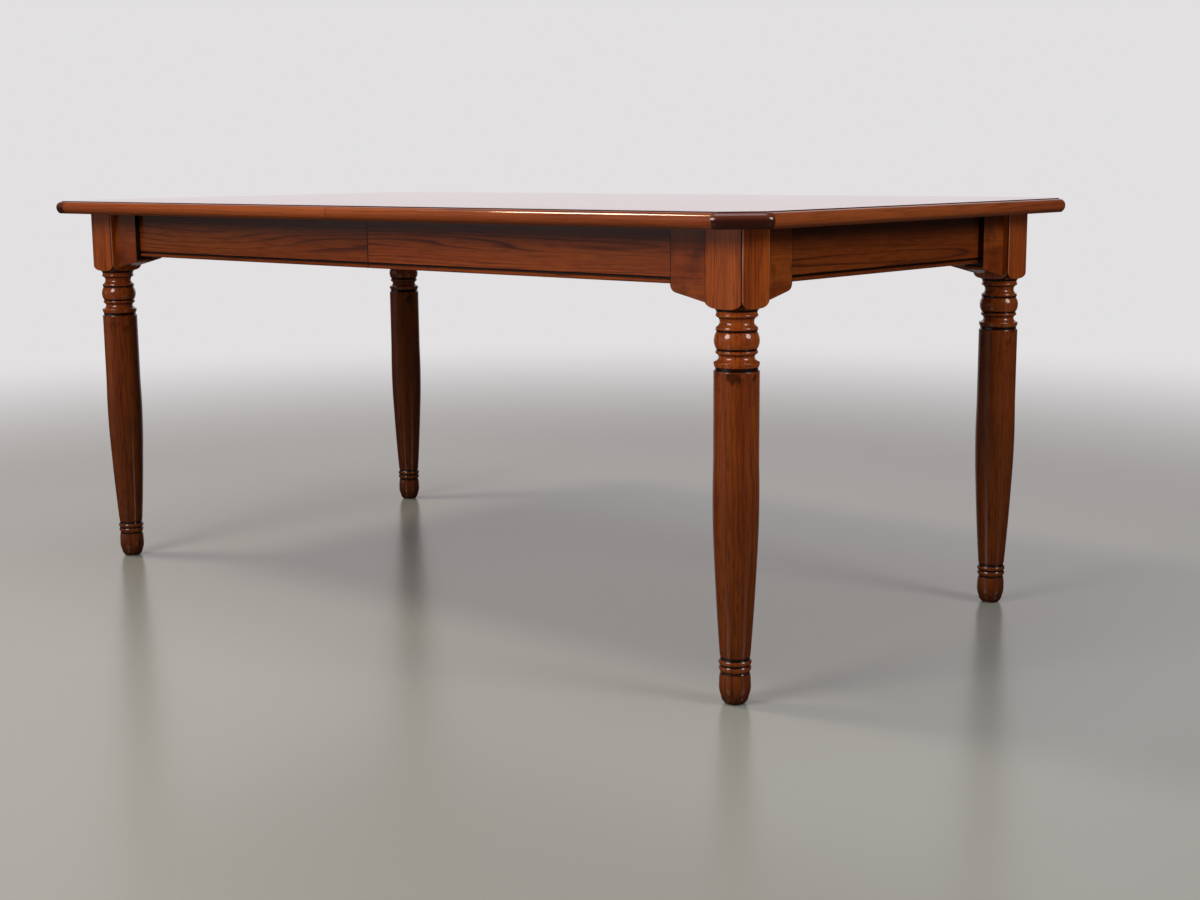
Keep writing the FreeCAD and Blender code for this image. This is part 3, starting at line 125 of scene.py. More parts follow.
# %% Windows and layers of colour
def window(tree, measure, rise=None, fall=None):
    """A share that goes smoothly from 0 to 1 over the rise and back to 0 over the fall."""
    share = 1.0
    if rise:
        share = add(tree, "MapRange", (measure, *rise, 0.0, 1.0), interpolation_type="SMOOTHSTEP")
    if fall:
        down = add(tree, "MapRange", (measure, *fall, 1.0, 0.0), interpolation_type="SMOOTHSTEP")
        share = add(tree, "Math", (share, down), operation="MULTIPLY") if rise else down
    return share


def paint(tree, under, over, *shares):
    """One colour laid over another, by the product of the shares."""
    share = shares[0]
    for more in shares[1:]:
        share = add(tree, "Math", (share, more), operation="MULTIPLY")
    under, over = (linear(c) if isinstance(c, str) else c for c in (under, over))
    return add(tree, "Mix", {0: share, 6: under, 7: over}, out=2, data_type="RGBA")


print("a smooth rise from 0 to 1, in quarters:", [3 * t ** 2 - 2 * t ** 3 for t in (0, 0.25, 0.5, 0.75, 1)])

# %% [markdown]
# ## Wood
#
# A picture of wood would repeat, and it would stretch round the turnings. Here the colour depends on where
# a point lies in the board, as it does in a tree, so grain runs through corners and round the legs as on
# real stock. Along the grain everything is stretched out. Growth rings are shells round a heart that lies
# outside the board, so a flat face shows long arches: the distance from the heart, bent a little, is
# counted in rings, and each ring gets darker towards its late wood. Finer fibres and slow changes of tone
# lie on top. Each noise gets its scale from a real distance in millimetres.


# %% Grain
def per_metre(millimetres):
    """The scale of a noise whose spots are this many millimetres apart."""
    return round(1000 / millimetres)


STRETCH = {"X": (0.045, 1.0, 1.0), "Y": (1.0, 0.045, 1.0), "Z": (1.0, 1.0, 0.045)}
# How far apart the spots of each noise are, in millimetres.
SLOW_WAVE, SMALL_WAVE, FAINT_PATCH, TONE_PATCH = 91, 14.3, 25, 45.5
# Real fibres are a tenth of a millimetre wide: these are drawn 2.3 mm apart, so that they show.
FIBRE = 2.325
# Within a ring, from 0 to 1, the late wood is darkest here.
LATE_WOOD = 0.90
# The small waves' depth, as a share of one ring.
SMALL_DEPTH = 0.9


def grain(tree, place, along, seed, heart, ring, wander, start=0.35):
    """Values from 0 to 1: growth rings, fine fibres and slow tone, for grain along one axis.

    ring is a growth ring's width and wander the depth of its slow waves, in metres; start is the share
    of each ring that stays pale.
    """
    shift = tuple(0.37 * seed + 0.11 * k for k in range(3))
    moved = add(tree, "Mapping", {"Vector": place, "Location": shift, "Scale": STRETCH[along]})
    centred = add(tree, "Mapping", {"Vector": place, "Location": tuple(-c for c in heart)})
    flatten = tuple(0.0 if axis == along else 1.0 for axis in "XYZ")
    flat = add(tree, "Mapping", {"Vector": centred, "Scale": flatten})
    far = add(tree, "VectorMath", [flat], out="Value", operation="LENGTH")

    slow = add(tree, "TexNoise", {"Vector": moved, "Scale": per_metre(SLOW_WAVE)})
    small = add(tree, "TexNoise", {"Vector": moved, "Scale": per_metre(SMALL_WAVE)})
    bent = add(tree, "Math", (slow, wander, far), operation="MULTIPLY_ADD")
    bent = add(tree, "Math", (small, ring * SMALL_DEPTH, bent), operation="MULTIPLY_ADD")
    # Noise lies round a half, so half of each wave is taken off again.
    middle = (wander / ring + SMALL_DEPTH) / 2
    count = add(tree, "Math", (bent, 1 / ring, -middle), operation="MULTIPLY_ADD")
    phase = add(tree, "Math", [count], operation="FRACT")
    line = window(tree, phase, (start, LATE_WOOD), (LATE_WOOD, 1.0))
    patches = add(tree, "TexNoise", {"Vector": moved, "Scale": per_metre(FAINT_PATCH)})
    rings = add(tree, "Math", (line, window(tree, patches, (0.25, 0.65))), operation="MULTIPLY")

    threads = {"Vector": moved, "Scale": per_metre(FIBRE), "Detail": 3.0, "Roughness": 0.65}
    clouds = {"Vector": moved, "Scale": per_metre(TONE_PATCH), "Detail": 3.0, "Roughness": 0.6}
    return rings, add(tree, "TexNoise", threads), add(tree, "TexNoise", clouds)


sizes = (SLOW_WAVE, TONE_PATCH, SMALL_WAVE, FIBRE)
print("noise scales, slow to fine:", [per_metre(size) for size in sizes])

# %% [markdown]
# ## Stain and lacquer
#
# The wood is a fine, even hardwood, stained red-brown with a darker glaze wiped over, then sprayed with
# clear gloss lacquer. One flat brown under a gloss would look like plastic. The stain sinks deeper into
# late wood and open fibres, so they come out darker, and the grain alone says where. The lacquer is a clear
# coat on the shader.

# %% Stain and lacquer
# Dark glaze colour, also used for painted shade: under the top, on the brackets, in the grooves and in the
# top's step.
GLAZE_AND_SHADE = "1a0905"
FRAME_COLOURS = ("361006", "873a10", "9e4e18")
# Between these values of their noises, the lighter tone and the dark threads come in.
TONE_SPAN, FIBRE_SPAN = (0.30, 0.70), (0.44, 0.70)


def stained(tree, values, colours, ring_share, fibre_share):
    """The stained wood's colour from its grain, with a dark, a middle and a light colour."""
    rings, fibre, tone = values
    dark, middle, light = colours
    base = paint(tree, middle, light, window(tree, tone, TONE_SPAN))
    base = paint(tree, base, dark, rings, ring_share)
    return paint(tree, base, dark, window(tree, fibre, FIBRE_SPAN), fibre_share)


def lacquer(tree, colour, rough=0.42, coat_rough=0.085):
    """Clear gloss lacquer over a stained colour.

    The lacquer mirrors the room sharply, while the wood below scatters light softly. The eye takes that
    double surface for depth. Lacquer bends light about as glass does, with an IOR of 1.52, and a sprayed
    coat is typically 0.05 to 0.1 rough.
    """
    shader = add(tree, "BsdfPrincipled", {
        "Base Color": colour, "Roughness": rough, "Specular IOR Level": 0.12,
        "Coat Weight": 1.0, "Coat Roughness": coat_rough, "Coat IOR": 1.52,
    })
    add(tree, "OutputMaterial", [shader])


print("the dark stain's red in linear light:", round(linear(FRAME_COLOURS[0])[0], 4))

# %% [markdown]
# ### Legs: glaze and painted shade in the grooves
#
# The dark glaze was wiped over the turning and stays in its grooves, and a painted shade darkens them
# further. Blender can find hollows with ambient occlusion, but that costs render time and darkens every
# hollow alike. A groove goes round the leg at one height, so a table of heights places the dark bands
# exactly: each row is a middle height, a half width and a strength.

# %% Glaze and painted shade in the grooves
LEG_GLAZE_AND_SHADE = (
    (0.6026, 0.0010, 1.0),
    (0.5925, 0.0010, 0.9),
    (0.5730, 0.0016, 1.0),
    (0.5452, 0.0016, 1.0),
    (0.5376, 0.0010, 0.9),
    (0.5162, 0.0026, 1.0),
    (0.0725, 0.0022, 1.0),
    (0.0620, 0.0016, 1.0),
    (0.0505, 0.0018, 0.9),
)
# Over this height, in metres, a dark band fades out.
GLAZE_EDGE = 0.0010


def banded(tree, height, bands):
    """The strongest of several smooth bands of height."""
    total = 0.0
    for middle, half, strength in bands:
        offset = add(tree, "Math", (height, middle), operation="SUBTRACT")
        away = add(tree, "Math", [offset], operation="ABSOLUTE")
        band = window(tree, away, fall=(half - GLAZE_EDGE / 2, half + GLAZE_EDGE))
        band = add(tree, "Math", (band, strength), operation="MULTIPLY")
        total = add(tree, "Math", (total, band), operation="MAXIMUM")
    return total


print("glazed grooves on a leg:", len(LEG_GLAZE_AND_SHADE))

# %% [markdown]
# ### Legs: tone by height
#
# The shaft is drawn darker than the block, most of all towards the foot, and the rings lighter. Two colours
# and one gradient can't follow that. So the colour's depth is a curve of height, from point to point, and
# the rings and the block then take their own depth.

# %% Tone by height
SHAFT_TONE = (
    (0.004, 0.28),
    (0.024, 0.50),
    (0.042, 0.62),
    (0.075, 0.50),
    (0.110, 0.59),
    (0.300, 0.69),
    (0.400, 0.92),
    (0.505, 1.0),
)
BLOCK_TONE, RING_TONE, FOOT_RING_TONE = 1.50, 1.42, 0.86
BLOCK_FOOT = UNDERSIDE - 0.119
FOOT_RINGS = ((0.0505, 0.0515), (0.0715, 0.0725))
RINGS_START = (0.5150, 0.5160)
BLOCK_START = (BLOCK_FOOT - 0.003, BLOCK_FOOT - 0.002)


def toned(tree, colour, strength):
    """A colour made deeper or lighter: each of its parts is multiplied by the strength."""
    grey = add(tree, "CombineColor", (strength, strength, strength))
    return add(tree, "Mix", {0: 1.0, 6: colour, 7: grey}, out=2, data_type="RGBA", blend_type="MULTIPLY")


def tone_by_height(tree, height, shade):
    """How deep the colour is drawn up a leg: a curve for the shaft, then foot rings, rings and block."""
    tone = SHAFT_TONE[0][1]
    for (low, before), (high, after) in zip(SHAFT_TONE, SHAFT_TONE[1:]):
        span = (height, low, high, 0.0, after - before)
        change = add(tree, "MapRange", span, interpolation_type="SMOOTHSTEP")
        tone = add(tree, "Math", (tone, change), operation="ADD")
    tone = add(tree, "Math", (tone, shade), operation="MULTIPLY")
    # On a darker leg the rings are darker still than its shaft, and the block less so.
    zones = (
        (window(tree, height, *FOOT_RINGS), FOOT_RING_TONE * shade ** 1.6),
        (window(tree, height, RINGS_START), RING_TONE * shade ** 1.4),
        (window(tree, height, BLOCK_START), BLOCK_TONE * (1 + shade) / 2),
    )
    for share, zone_tone in zones:
        tone = add(tree, "Mix", {0: share, 2: tone, 3: zone_tone}, data_type="FLOAT")
    return tone


print("the block starts at a height of", round(BLOCK_FOOT, 3), "m")

# %% [markdown]
# ### Legs: block edges
#
# Under the block the turning runs up behind the flat faces, and there it is painted nearly black, partly as
# glaze and partly as painted shade. A block's outer corner is a sharp edge: lacquer is rubbed thin on one
# side of it, which shows as a pale line, and glaze gathers on the other. A bevel modifier with its own
# material could draw such lines, but it would change the block's shape. Instead both are found by how far a
# point is from the leg's axis along X and along Y: at the corner the two distances add up to nearly the
# block's whole width, and their difference says on which side of the edge the point is.

# %% Glaze, painted shade and wear at the block
low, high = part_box("leg_right_front")
LEG_X, LEG_Y = (round(abs(low[k] + high[k]) / 2, 3) for k in (0, 1))
BLOCK_WIDTH = 0.070
BEHIND_BLOCK = (BLOCK_WIDTH / 2 - 0.0005, BLOCK_WIDTH / 2 - 0.0002)
SHOULDER = ((BLOCK_FOOT - 0.0030, BLOCK_FOOT - 0.0024), (BLOCK_FOOT + 0.0105, BLOCK_FOOT + 0.0130))
EDGE_LINE = (BLOCK_WIDTH - 0.0032, BLOCK_WIDTH - 0.0026)
EDGE_START = (BLOCK_FOOT + 0.006, BLOCK_FOOT + 0.014)
GLAZED_SIDE, WORN_SIDE = (-0.0006, 0.0002), (0.0002, 0.0008)
EDGE_GLAZE = 0.85
# Wear grows between two heights, from the first share to the second.
WORN_HEIGHTS, WEAR_BELOW, WEAR_ABOVE = (0.64, 0.70), 0.25, 0.8
BARE_WOOD = "d9b49a"


def block_edges(tree, colour, x, y, z, shade):
    """The glaze and painted shade behind a block's faces, and the glaze and wear beside its outer edges."""
    aside = []
    for value, middle in ((x, LEG_X), (y, LEG_Y)):
        from_centre = add(tree, "Math", [value], operation="ABSOLUTE")
        offset = add(tree, "Math", (from_centre, middle), operation="SUBTRACT")
        aside.append(add(tree, "Math", [offset], operation="ABSOLUTE"))
    widest = add(tree, "Math", aside, operation="MAXIMUM")
    behind = window(tree, widest, fall=BEHIND_BLOCK)
    # Behind the block's faces, under its shoulder: glaze and painted shade.
    colour = paint(tree, colour, GLAZE_AND_SHADE, window(tree, z, *SHOULDER), behind)

    both = add(tree, "Math", aside, operation="ADD")
    lean = add(tree, "Math", aside, operation="SUBTRACT")
    edge = (window(tree, both, EDGE_LINE), window(tree, z, EDGE_START))
    colour = paint(tree, colour, GLAZE_AND_SHADE, *edge, window(tree, lean, fall=GLAZED_SIDE), EDGE_GLAZE)
    span = (z, *WORN_HEIGHTS, WEAR_BELOW, WEAR_ABOVE * shade ** 3)
    wear = add(tree, "MapRange", span, interpolation_type="SMOOTHSTEP")
    return paint(tree, colour, BARE_WOOD, *edge, window(tree, lean, WORN_SIDE), wear)


print("leg centres from the table's middle, in metres:", LEG_X, LEG_Y)

# %% [markdown]
# ### Legs, put together
#
# A leg is one length of wood with its grain upright, so its rings run round block and turning alike. Stain
# also pooled in soft blotches under the shaft's upper ring. Drawing each blotch would copy one leg on all
# four: a noise gives each leg its own.

# %% Leg material
# Blotches are about this many millimetres apart.
BLOTCH = 21
BLOTCH_HEIGHTS = ((0.462, 0.508), (0.511, 0.515))


def leg_material(name, seed, heart, shade):
    """One leg; shade is how much darker it is drawn than the near leg, partly its own tone and partly
    painted shade.
    """
    material, tree, place, (x, y, z) = blank_material("lacquered_leg_" + name)
    values = grain(tree, place, "Z", seed, heart, ring=0.006, wander=0.10)
    colour = stained(tree, values, FRAME_COLOURS, ring_share=0.35, fibre_share=0.58)
    colour = toned(tree, colour, tone_by_height(tree, z, shade))
    # Dark bands in the grooves: glaze and painted shade.
    colour = paint(tree, colour, GLAZE_AND_SHADE, banded(tree, z, LEG_GLAZE_AND_SHADE))
    cloud = add(tree, "TexNoise", {"Vector": place, "Scale": per_metre(BLOTCH)})
    blotch = window(tree, cloud, (0.50, 0.66))
    colour = paint(tree, colour, GLAZE_AND_SHADE, window(tree, z, *BLOTCH_HEIGHTS), blotch, 0.75)
    # Dark lines between bright rings make the eye read the turning as deeper than it is.
    lacquer(tree, block_edges(tree, colour, x, y, z, shade))
    return material


print("growth rings of 6 mm across a block:", round(BLOCK_WIDTH / 0.006))

# %% [markdown]
# ### Rails
#
# A rail is a board on edge with its grain lengthwise, and a bead along its foot. Glaze and painted shade
# darken the quirk above the bead, and a painted shade darkens the rail's upper edge under the top's
# overhang. The side rails are cut in two where the table opens, and the cut shows as a dark line. A gap
# alone would be too narrow to see, so the wood beside it is darkened, as glaze does on the cut edges.

# %% Rail material
RAIL_GLAZE_AND_SHADE = ((RAIL_FOOT + 0.0084, 0.0019, 1.0),)
PAINTED_SHADE_UNDER_TOP = (UNDERSIDE - 0.031, UNDERSIDE - 0.011)
RAIL_JOINT = (0.0010, 0.0018)


def rail_material(name, along, seed, heart, shade):
    """A rail with its grain along one axis."""
    material, tree, place, (x, _, z) = blank_material("lacquered_rail_" + name)
    values = grain(tree, place, along, seed, heart, ring=0.0052, wander=0.13, start=0.55)
    colour = toned(tree, stained(tree, values, FRAME_COLOURS, ring_share=0.80, fibre_share=0.45), shade)
    # Painted shade on the rail's upper edge, under the top's overhang.
    colour = paint(tree, colour, GLAZE_AND_SHADE, window(tree, z, PAINTED_SHADE_UNDER_TOP), 0.72)
    if along == "X":
        from_joint = add(tree, "Math", [x], operation="ABSOLUTE")
        colour = paint(tree, colour, GLAZE_AND_SHADE, window(tree, from_joint, fall=RAIL_JOINT), 0.85)
    # Strong rings close together give the flat face its long, lively figure.
    # Dark band in the quirk above the bead: glaze and painted shade.
    lacquer(tree, paint(tree, colour, GLAZE_AND_SHADE, banded(tree, z, RAIL_GLAZE_AND_SHADE)))
    return material


print("quirk above the rail's foot, in millimetres:", round((RAIL_GLAZE_AND_SHADE[0][0] - RAIL_FOOT) * 1000, 1))

# %% [markdown]
# ### Corner brackets
#
# The shaped brackets beside each leg were sawn and stained by hand, so their stain is cloudy. Their grain
# runs along the rail, which makes their tips end grain, and that took the stain nearly black. The tip is
# found by its distance from the table's middle, which needs no mask and fits all eight brackets.

# %% Bracket material
# The clouds in the stain are about this many millimetres apart.
CLOUD = 50
# The dark of the brackets' cloudy stain, also used for painted shade along the foot of the top's edge.
CLOUD_AND_SHADE_COLOUR = "2c0d05"
PAINTED_BRACKET_SHADE = (UNDERSIDE - 0.040, UNDERSIDE - 0.003)
TIP_DEPTH = (0.0012, 0.0028)


def ear_material(name, along, seed, heart, tip, shade):
    """A corner bracket; tip is how far its end lies from the table's middle, along the grain."""
    material, tree, place, parts = blank_material("lacquered_bracket_" + name)
    values = grain(tree, place, along, seed, heart, ring=0.010, wander=0.16)
    colour = toned(tree, stained(tree, values, FRAME_COLOURS, ring_share=0.30, fibre_share=0.30), shade)
    patches = {"Vector": place, "Scale": per_metre(CLOUD), "Detail": 4.0, "Roughness": 0.66}
    cloud = window(tree, add(tree, "TexNoise", patches), (0.36, 0.74))
    colour = paint(tree, colour, CLOUD_AND_SHADE_COLOUR, cloud, 0.62)
    # Painted shade on the bracket's upper part, under the top.
    colour = paint(tree, colour, GLAZE_AND_SHADE, window(tree, parts[2], PAINTED_BRACKET_SHADE), 0.45)
    reach = add(tree, "Math", [parts["XY".index(along)]], operation="ABSOLUTE")
    end_grain = window(tree, reach, fall=(tip + TIP_DEPTH[0], tip + TIP_DEPTH[1]))
    # The uneven stain makes the brackets look like carved pieces set against the even rails.
    lacquer(tree, paint(tree, colour, GLAZE_AND_SHADE, end_grain))
    return material


print("corner brackets:", sum(name.startswith("ear_") for name in NODES))

# %% [markdown]
# ### The top: clipped corners
#
# At the clipped corners the moulded edge cuts across the grain, and end grain drinks the stain and turns
# nearly black. Those faces could be picked by hand in the mesh, but the dark part ends softly, within a
# face. A point belongs to a clipped corner when it is about as near to the clip's face as to the straight
# edges. The distance to that face is the one formula here: on the face the places along and across add up
# to one sum, and what is missing from it, times the square root of a half, is the distance.

# %% Clipped corners
# Nowhere on the top do the places along and across add up to more than on a clip's face.
CLIP_SUM = max(abs(v.co.x) + abs(v.co.y) for v in NODES["top_right"].data.vertices)
# How far the dark end grain reaches along the edges beside a clipped corner, in metres.
CORNER_REACH = {"left": 0.019, "right": 0.0053}
MOULDING_DEPTH = 0.0113


def clipped_corner(tree, far, wide, reach):
    """The share of end grain at a clipped corner, from the places along and across."""
    total = add(tree, "Math", (far, wide), operation="ADD")
    missing = add(tree, "Math", (CLIP_SUM, total), operation="SUBTRACT")
    from_clip = add(tree, "Math", (missing, math.sqrt(0.5)), operation="MULTIPLY")
    from_end = add(tree, "Math", (TOP_END, far), operation="SUBTRACT")
    from_side = add(tree, "Math", (TOP_SIDE, wide), operation="SUBTRACT")
    from_edge = add(tree, "Math", (from_end, from_side), operation="MINIMUM")
    nearer = add(tree, "Math", (from_clip, from_edge), operation="SUBTRACT")
    beside = window(tree, nearer, fall=(reach, reach + 0.0008))
    depth = reach + MOULDING_DEPTH
    within = window(tree, from_clip, fall=(depth, depth + 0.0010))
    return add(tree, "Math", (beside, within), operation="MULTIPLY")


print("the clip takes", round((TOP_END + TOP_SIDE - CLIP_SUM) * 1000), "mm off each corner")

# %% [markdown]
# ### The top, put together
#
# Boards run along the table, with a narrow band across each end whose grain runs the other way. The
# moulded edge has a little step at its top, with a painted shadow line in it, and a painted shade darkens
# the edge along its foot. A function each for halves and leaf would say the same twice. They share one, and
# the leaf, with neither end bands nor clipped corners, skips that part.

# %% Top material
TOP_COLOURS = ("54200e", "96461f", "a9582a")
# The end grain's dark stain, and a painted reflection on the clipped corner's upper round.
CORNER_DARK, CORNER_PAINTED_REFLECTION = "3f1a12", "6b3524"
TOP_JOINT = (0.0004, 0.0010)
END_BAND = (TOP_END - 0.0265, TOP_END - 0.0260)
PAINTED_STEP_SHADOW = ((TOP_HEIGHT - 0.0016, TOP_HEIGHT - 0.0012), (TOP_HEIGHT - 0.0004, TOP_HEIGHT - 0.0001))
PAINTED_SHADE_AT_EDGE_FOOT = ((UNDERSIDE + 0.0001, UNDERSIDE + 0.0004), (UNDERSIDE + 0.0012, UNDERSIDE + 0.0090))
CORNER_REFLECTION_HEIGHTS = (UNDERSIDE + 0.011, UNDERSIDE + 0.019)
BELOW_SURFACE = (TOP_HEIGHT - 0.0018, TOP_HEIGHT - 0.0012)


def edges_of_top(tree, colour, far, wide, z, reach):
    """The moulded edge, with a painted shadow line under its step and painted shade along its foot, and the
    clipped corners, with a painted reflection on their upper round, of a half of the top.
    """
    # Painted shadow line in the step at the top of the edge.
    colour = paint(tree, colour, GLAZE_AND_SHADE, window(tree, z, *PAINTED_STEP_SHADOW))
    # Painted shade along the foot of the moulded edge.
    colour = paint(tree, colour, CLOUD_AND_SHADE_COLOUR, window(tree, z, *PAINTED_SHADE_AT_EDGE_FOOT), 0.60)
    # End grain below, with a painted reflection on the corner's upper round.
    end_grain = paint(tree, CORNER_DARK, CORNER_PAINTED_REFLECTION, window(tree, z, CORNER_REFLECTION_HEIGHTS))
    at_corner = clipped_corner(tree, far, wide, reach)
    return paint(tree, colour, end_grain, at_corner, window(tree, z, fall=BELOW_SURFACE))


def top_material(name, seed, heart):
    """A half of the top, or the leaf."""
    material, tree, place, (x, y, z) = blank_material("lacquered_top_" + name)
    values = grain(tree, place, "X", seed, heart, ring=0.012, wander=0.35)
    colour = stained(tree, values, TOP_COLOURS, ring_share=0.45, fibre_share=0.30)
    if name in CORNER_REACH:
        far = add(tree, "Math", [x], operation="ABSOLUTE")
        wide = add(tree, "Math", [y], operation="ABSOLUTE")
        colour = paint(tree, colour, GLAZE_AND_SHADE, window(tree, far, fall=TOP_JOINT), 0.60)
        band_heart = (heart[0] + TOP_END, 0.0, heart[2])
        band = grain(tree, place, "Y", seed + 3, band_heart, ring=0.012, wander=0.30)
        band = stained(tree, band, TOP_COLOURS, ring_share=0.40, fibre_share=0.30)
        colour = paint(tree, colour, band, window(tree, far, END_BAND))
        colour = edges_of_top(tree, colour, far, wide, z, CORNER_REACH[name])
    # The top is rubbed out finer than the frame: smoother lacquer mirrors the room like a sheet of water.
    lacquer(tree, colour, rough=0.36, coat_rough=0.045)
    return material


print("width of the band across each end, in millimetres:", round((TOP_END - END_BAND[1]) * 1000))

# %% [markdown]
# ### Sealed beech
#
# The slides, bearers, corner blocks and pins are beech under a thin matt seal. One plain tan would do for
# parts that nobody sees, but the table is also shown from below and pulled open. The same grain function
# serves, with weaker rings, because beech is close grained.

# %% Beech material
BEECH, BEECH_LIGHT, BEECH_RING, BEECH_FLECK = "c79d6d", "d8b386", "a97c4e", "8f6238"
FLECK_SPAN = (0.50, 0.75)


def beech_material(name, along, seed, heart):
    """Sealed beech with its grain along one axis."""
    material, tree, place, _ = blank_material("sealed_beech_" + name)
    rings, fibre, tone = grain(tree, place, along, seed, heart, ring=0.006, wander=0.12)
    colour = paint(tree, BEECH, BEECH_LIGHT, window(tree, tone, TONE_SPAN))
    colour = paint(tree, colour, BEECH_RING, rings, 0.25)
    # Dark flecks along the grain are what the eye knows beech by, and the matt seal keeps them clear.
    colour = paint(tree, colour, BEECH_FLECK, window(tree, fibre, FLECK_SPAN), 0.50)
    finish = {"Base Color": colour, "Roughness": 0.52, "Specular IOR Level": 0.4}
    add(tree, "OutputMaterial", [add(tree, "BsdfPrincipled", finish)])
    return material


print("beech in linear light:", [round(c, 2) for c in linear(BEECH)[:3]])

# %% [markdown]
# ### Nylon and steel
#
# Racks, gears and glides are moulded nylon. Screws, hooks and brackets are zinc plated steel. Both are
# plain, yet neither is one flat colour: plastic cools unevenly in its mould, and plating clouds. A faint
# drift between two near colours shows that, so one function makes both, and the shader's values part them.


# %% Nylon and zinc materials
def cloudy_material(name, millimetres, first, second, finish):
    """A plain material whose colour drifts over some millimetres; finish holds the shader's values."""
    material, tree, place, _ = blank_material(name)
    cloud = add(tree, "TexNoise", {"Vector": place, "Scale": per_metre(millimetres), "Detail": 3.0})
    colour = paint(tree, first, second, window(tree, cloud, (0.35, 0.65)))
    add(tree, "OutputMaterial", [add(tree, "BsdfPrincipled", {"Base Color": colour, **finish})])
    return material


# Nylon lets a little light in, and that makes it look milky rather than chalky.
NYLON = cloudy_material("moulded_nylon", 6.25, "d9d4c6", "e6e2d6", {
    "Roughness": 0.45, "Specular IOR Level": 0.45,
    "Subsurface Weight": 0.08, "Subsurface Scale": 0.004,
})
# Zinc plate is a metal, but a soft one: it shines without a clear mirror image.
ZINC = cloudy_material("zinc_plated_steel", 2.38, "a9a9a6", "c6c5bf", {
    "Metallic": 1.0, "Roughness": 0.34,
})
print("materials so far:", NYLON.name, "and", ZINC.name)

# %% [markdown]
# ## Shades and hearts
#
# The boards of one table come from different trees, and each took the stain in its own way. One material
# for all the wood would draw one pattern straight through neighbouring boards. So each board gets its own,
# with the heart of its rings set off from the middle of the board's box, and a shade: partly its own tone
# and partly painted shade, which darkens the pieces that stand in less light.

# %% Shades and hearts
# Shades are partly each board's own tone and partly painted shade on pieces in less light.
LEG_SHADES = {"right_front": 1.0, "right_back": 0.78, "left_front": 0.80, "left_back": 0.62}
SIDE_RAIL_SHADES = {"left": 0.82, "right": 1.12}
END_RAIL_SHADE = 0.72
SIDE_EAR_SHADE, END_EAR_SHADE, LEFT_EAR_SHARE = 1.25, 1.06, 0.78
LEG_HEART, EAR_HEART = (0.045, 0.030, 0.0), (0.0, 0.0, 0.10)
# The hearts of rails lie this far towards the table's middle, and this far down.
SIDE_RAIL_HEART, END_RAIL_HEART = (0.055, -0.12), (0.085, -0.06)
TOP_HEART, LEAF_HEART = (0.0, 0.05, 0.45), (0.0, 0.03, 0.30)
BEARER_HEART, PIN_HEART, SLIDE_HEART = (0.05, 0.0, 0.04), (0.0, 0.03, 0.03), (0.0, 0.06, 0.05)


def heart_of(name, offset):
    """The heart of a board's rings: an offset from the middle of its box."""
    low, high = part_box(name)
    return tuple((low[k] + high[k]) / 2 + offset[k] for k in range(3))


print("heart of the near leg, in metres:", [round(c, 3) for c in heart_of("leg_right_front", LEG_HEART)])

# %% [markdown]
# ## A finish for the outside
#
# Pieces are named by what they are and where they sit, so the name is enough to choose the finish. Slots
# filled by hand would have to be filled again whenever the model is packed anew.


# %% Finishes for pieces that show
def lacquered_finish(name, number):
    """The material of a piece that shows when the table is closed, or None."""
    half = "left" if "left" in name else "right"
    if name.startswith("leg_"):
        place = name.removeprefix("leg_")
        return leg_material(place, number, heart_of(name, LEG_HEART), LEG_SHADES[place])
    if name.startswith("ear_"):
        axis = 0 if name.endswith("_side") else 1
        low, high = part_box(name)
        tip = min(abs(low[axis]), abs(high[axis]))
        shade = (SIDE_EAR_SHADE, END_EAR_SHADE)[axis] * (LEFT_EAR_SHARE if half == "left" else 1.0)
        place = name.removeprefix("ear_")
        return ear_material(place, "XY"[axis], number, heart_of(name, EAR_HEART), tip, shade)
    if name.startswith("side_rail_"):
        inward, below = SIDE_RAIL_HEART
        heart = heart_of(name, (0.0, inward if "front" in name else -inward, below))
        place = name.removeprefix("side_rail_")
        return rail_material("side_" + place, "X", number, heart, SIDE_RAIL_SHADES[half])
    if name.startswith("end_rail_"):
        inward, below = END_RAIL_HEART
        heart = heart_of(name, (inward if half == "left" else -inward, 0.0, below))
        return rail_material("end_" + half, "Y", number, heart, END_RAIL_SHADE)
    if name in ("top_left", "top_right"):
        return top_material(half, number, TOP_HEART)
    if name == "leaf":
        return top_material("leaf", number, LEAF_HEART)
    return None


print("pieces whose name says left:", sum("left" in name for name in NODES))

# %% [markdown]
# ## A finish for the inside, and all pieces dressed
#
# The same is done for what is hidden. Wooden parts are asked for first, then nylon ones, and all that is
# left is hardware. A loop in the order of the names gives every piece its material and its own number,
# which moves the noise, so the result is the same each time.


# %% Finishes for hidden pieces
def hidden_finish(name, number):
    """The material of a piece inside or under the table."""
    if name.startswith("leaf_bearer_"):
        return beech_material(name, "Y", number, heart_of(name, BEARER_HEART))
    if name in ("alignment_pins", "leaf_pins"):
        return beech_material(name, "X", number, heart_of(name, PIN_HEART))
    if name.startswith(("runner_left", "runner_right", "centre_runner", "corner_block")):
        return beech_material(name, "X", number, heart_of(name, SLIDE_HEART))
    if name.startswith(("rack_", "pinion_front", "pinion_back", "glides_")):
        return NYLON
    return ZINC


for number, name in enumerate(sorted(NODES)):
    materials = NODES[name].data.materials
    materials.clear()
    materials.append(lacquered_finish(name, number) or hidden_finish(name, number))
print("materials made:", len({piece.data.materials[0].name for piece in NODES.values()}))

# %% [markdown]
# ## Floor
#
# The table stands on a plain pale floor that fades into the background, so that no horizon shows: past
# some distance the camera sees the backdrop's own colour. A modelled studio sweep would do the same, with
# more geometry. Light paths sort the rays. Only the camera sees the fade, and rays that come off the
# lacquer see a dark floor, because the polished wood mirrors hardly any of it.

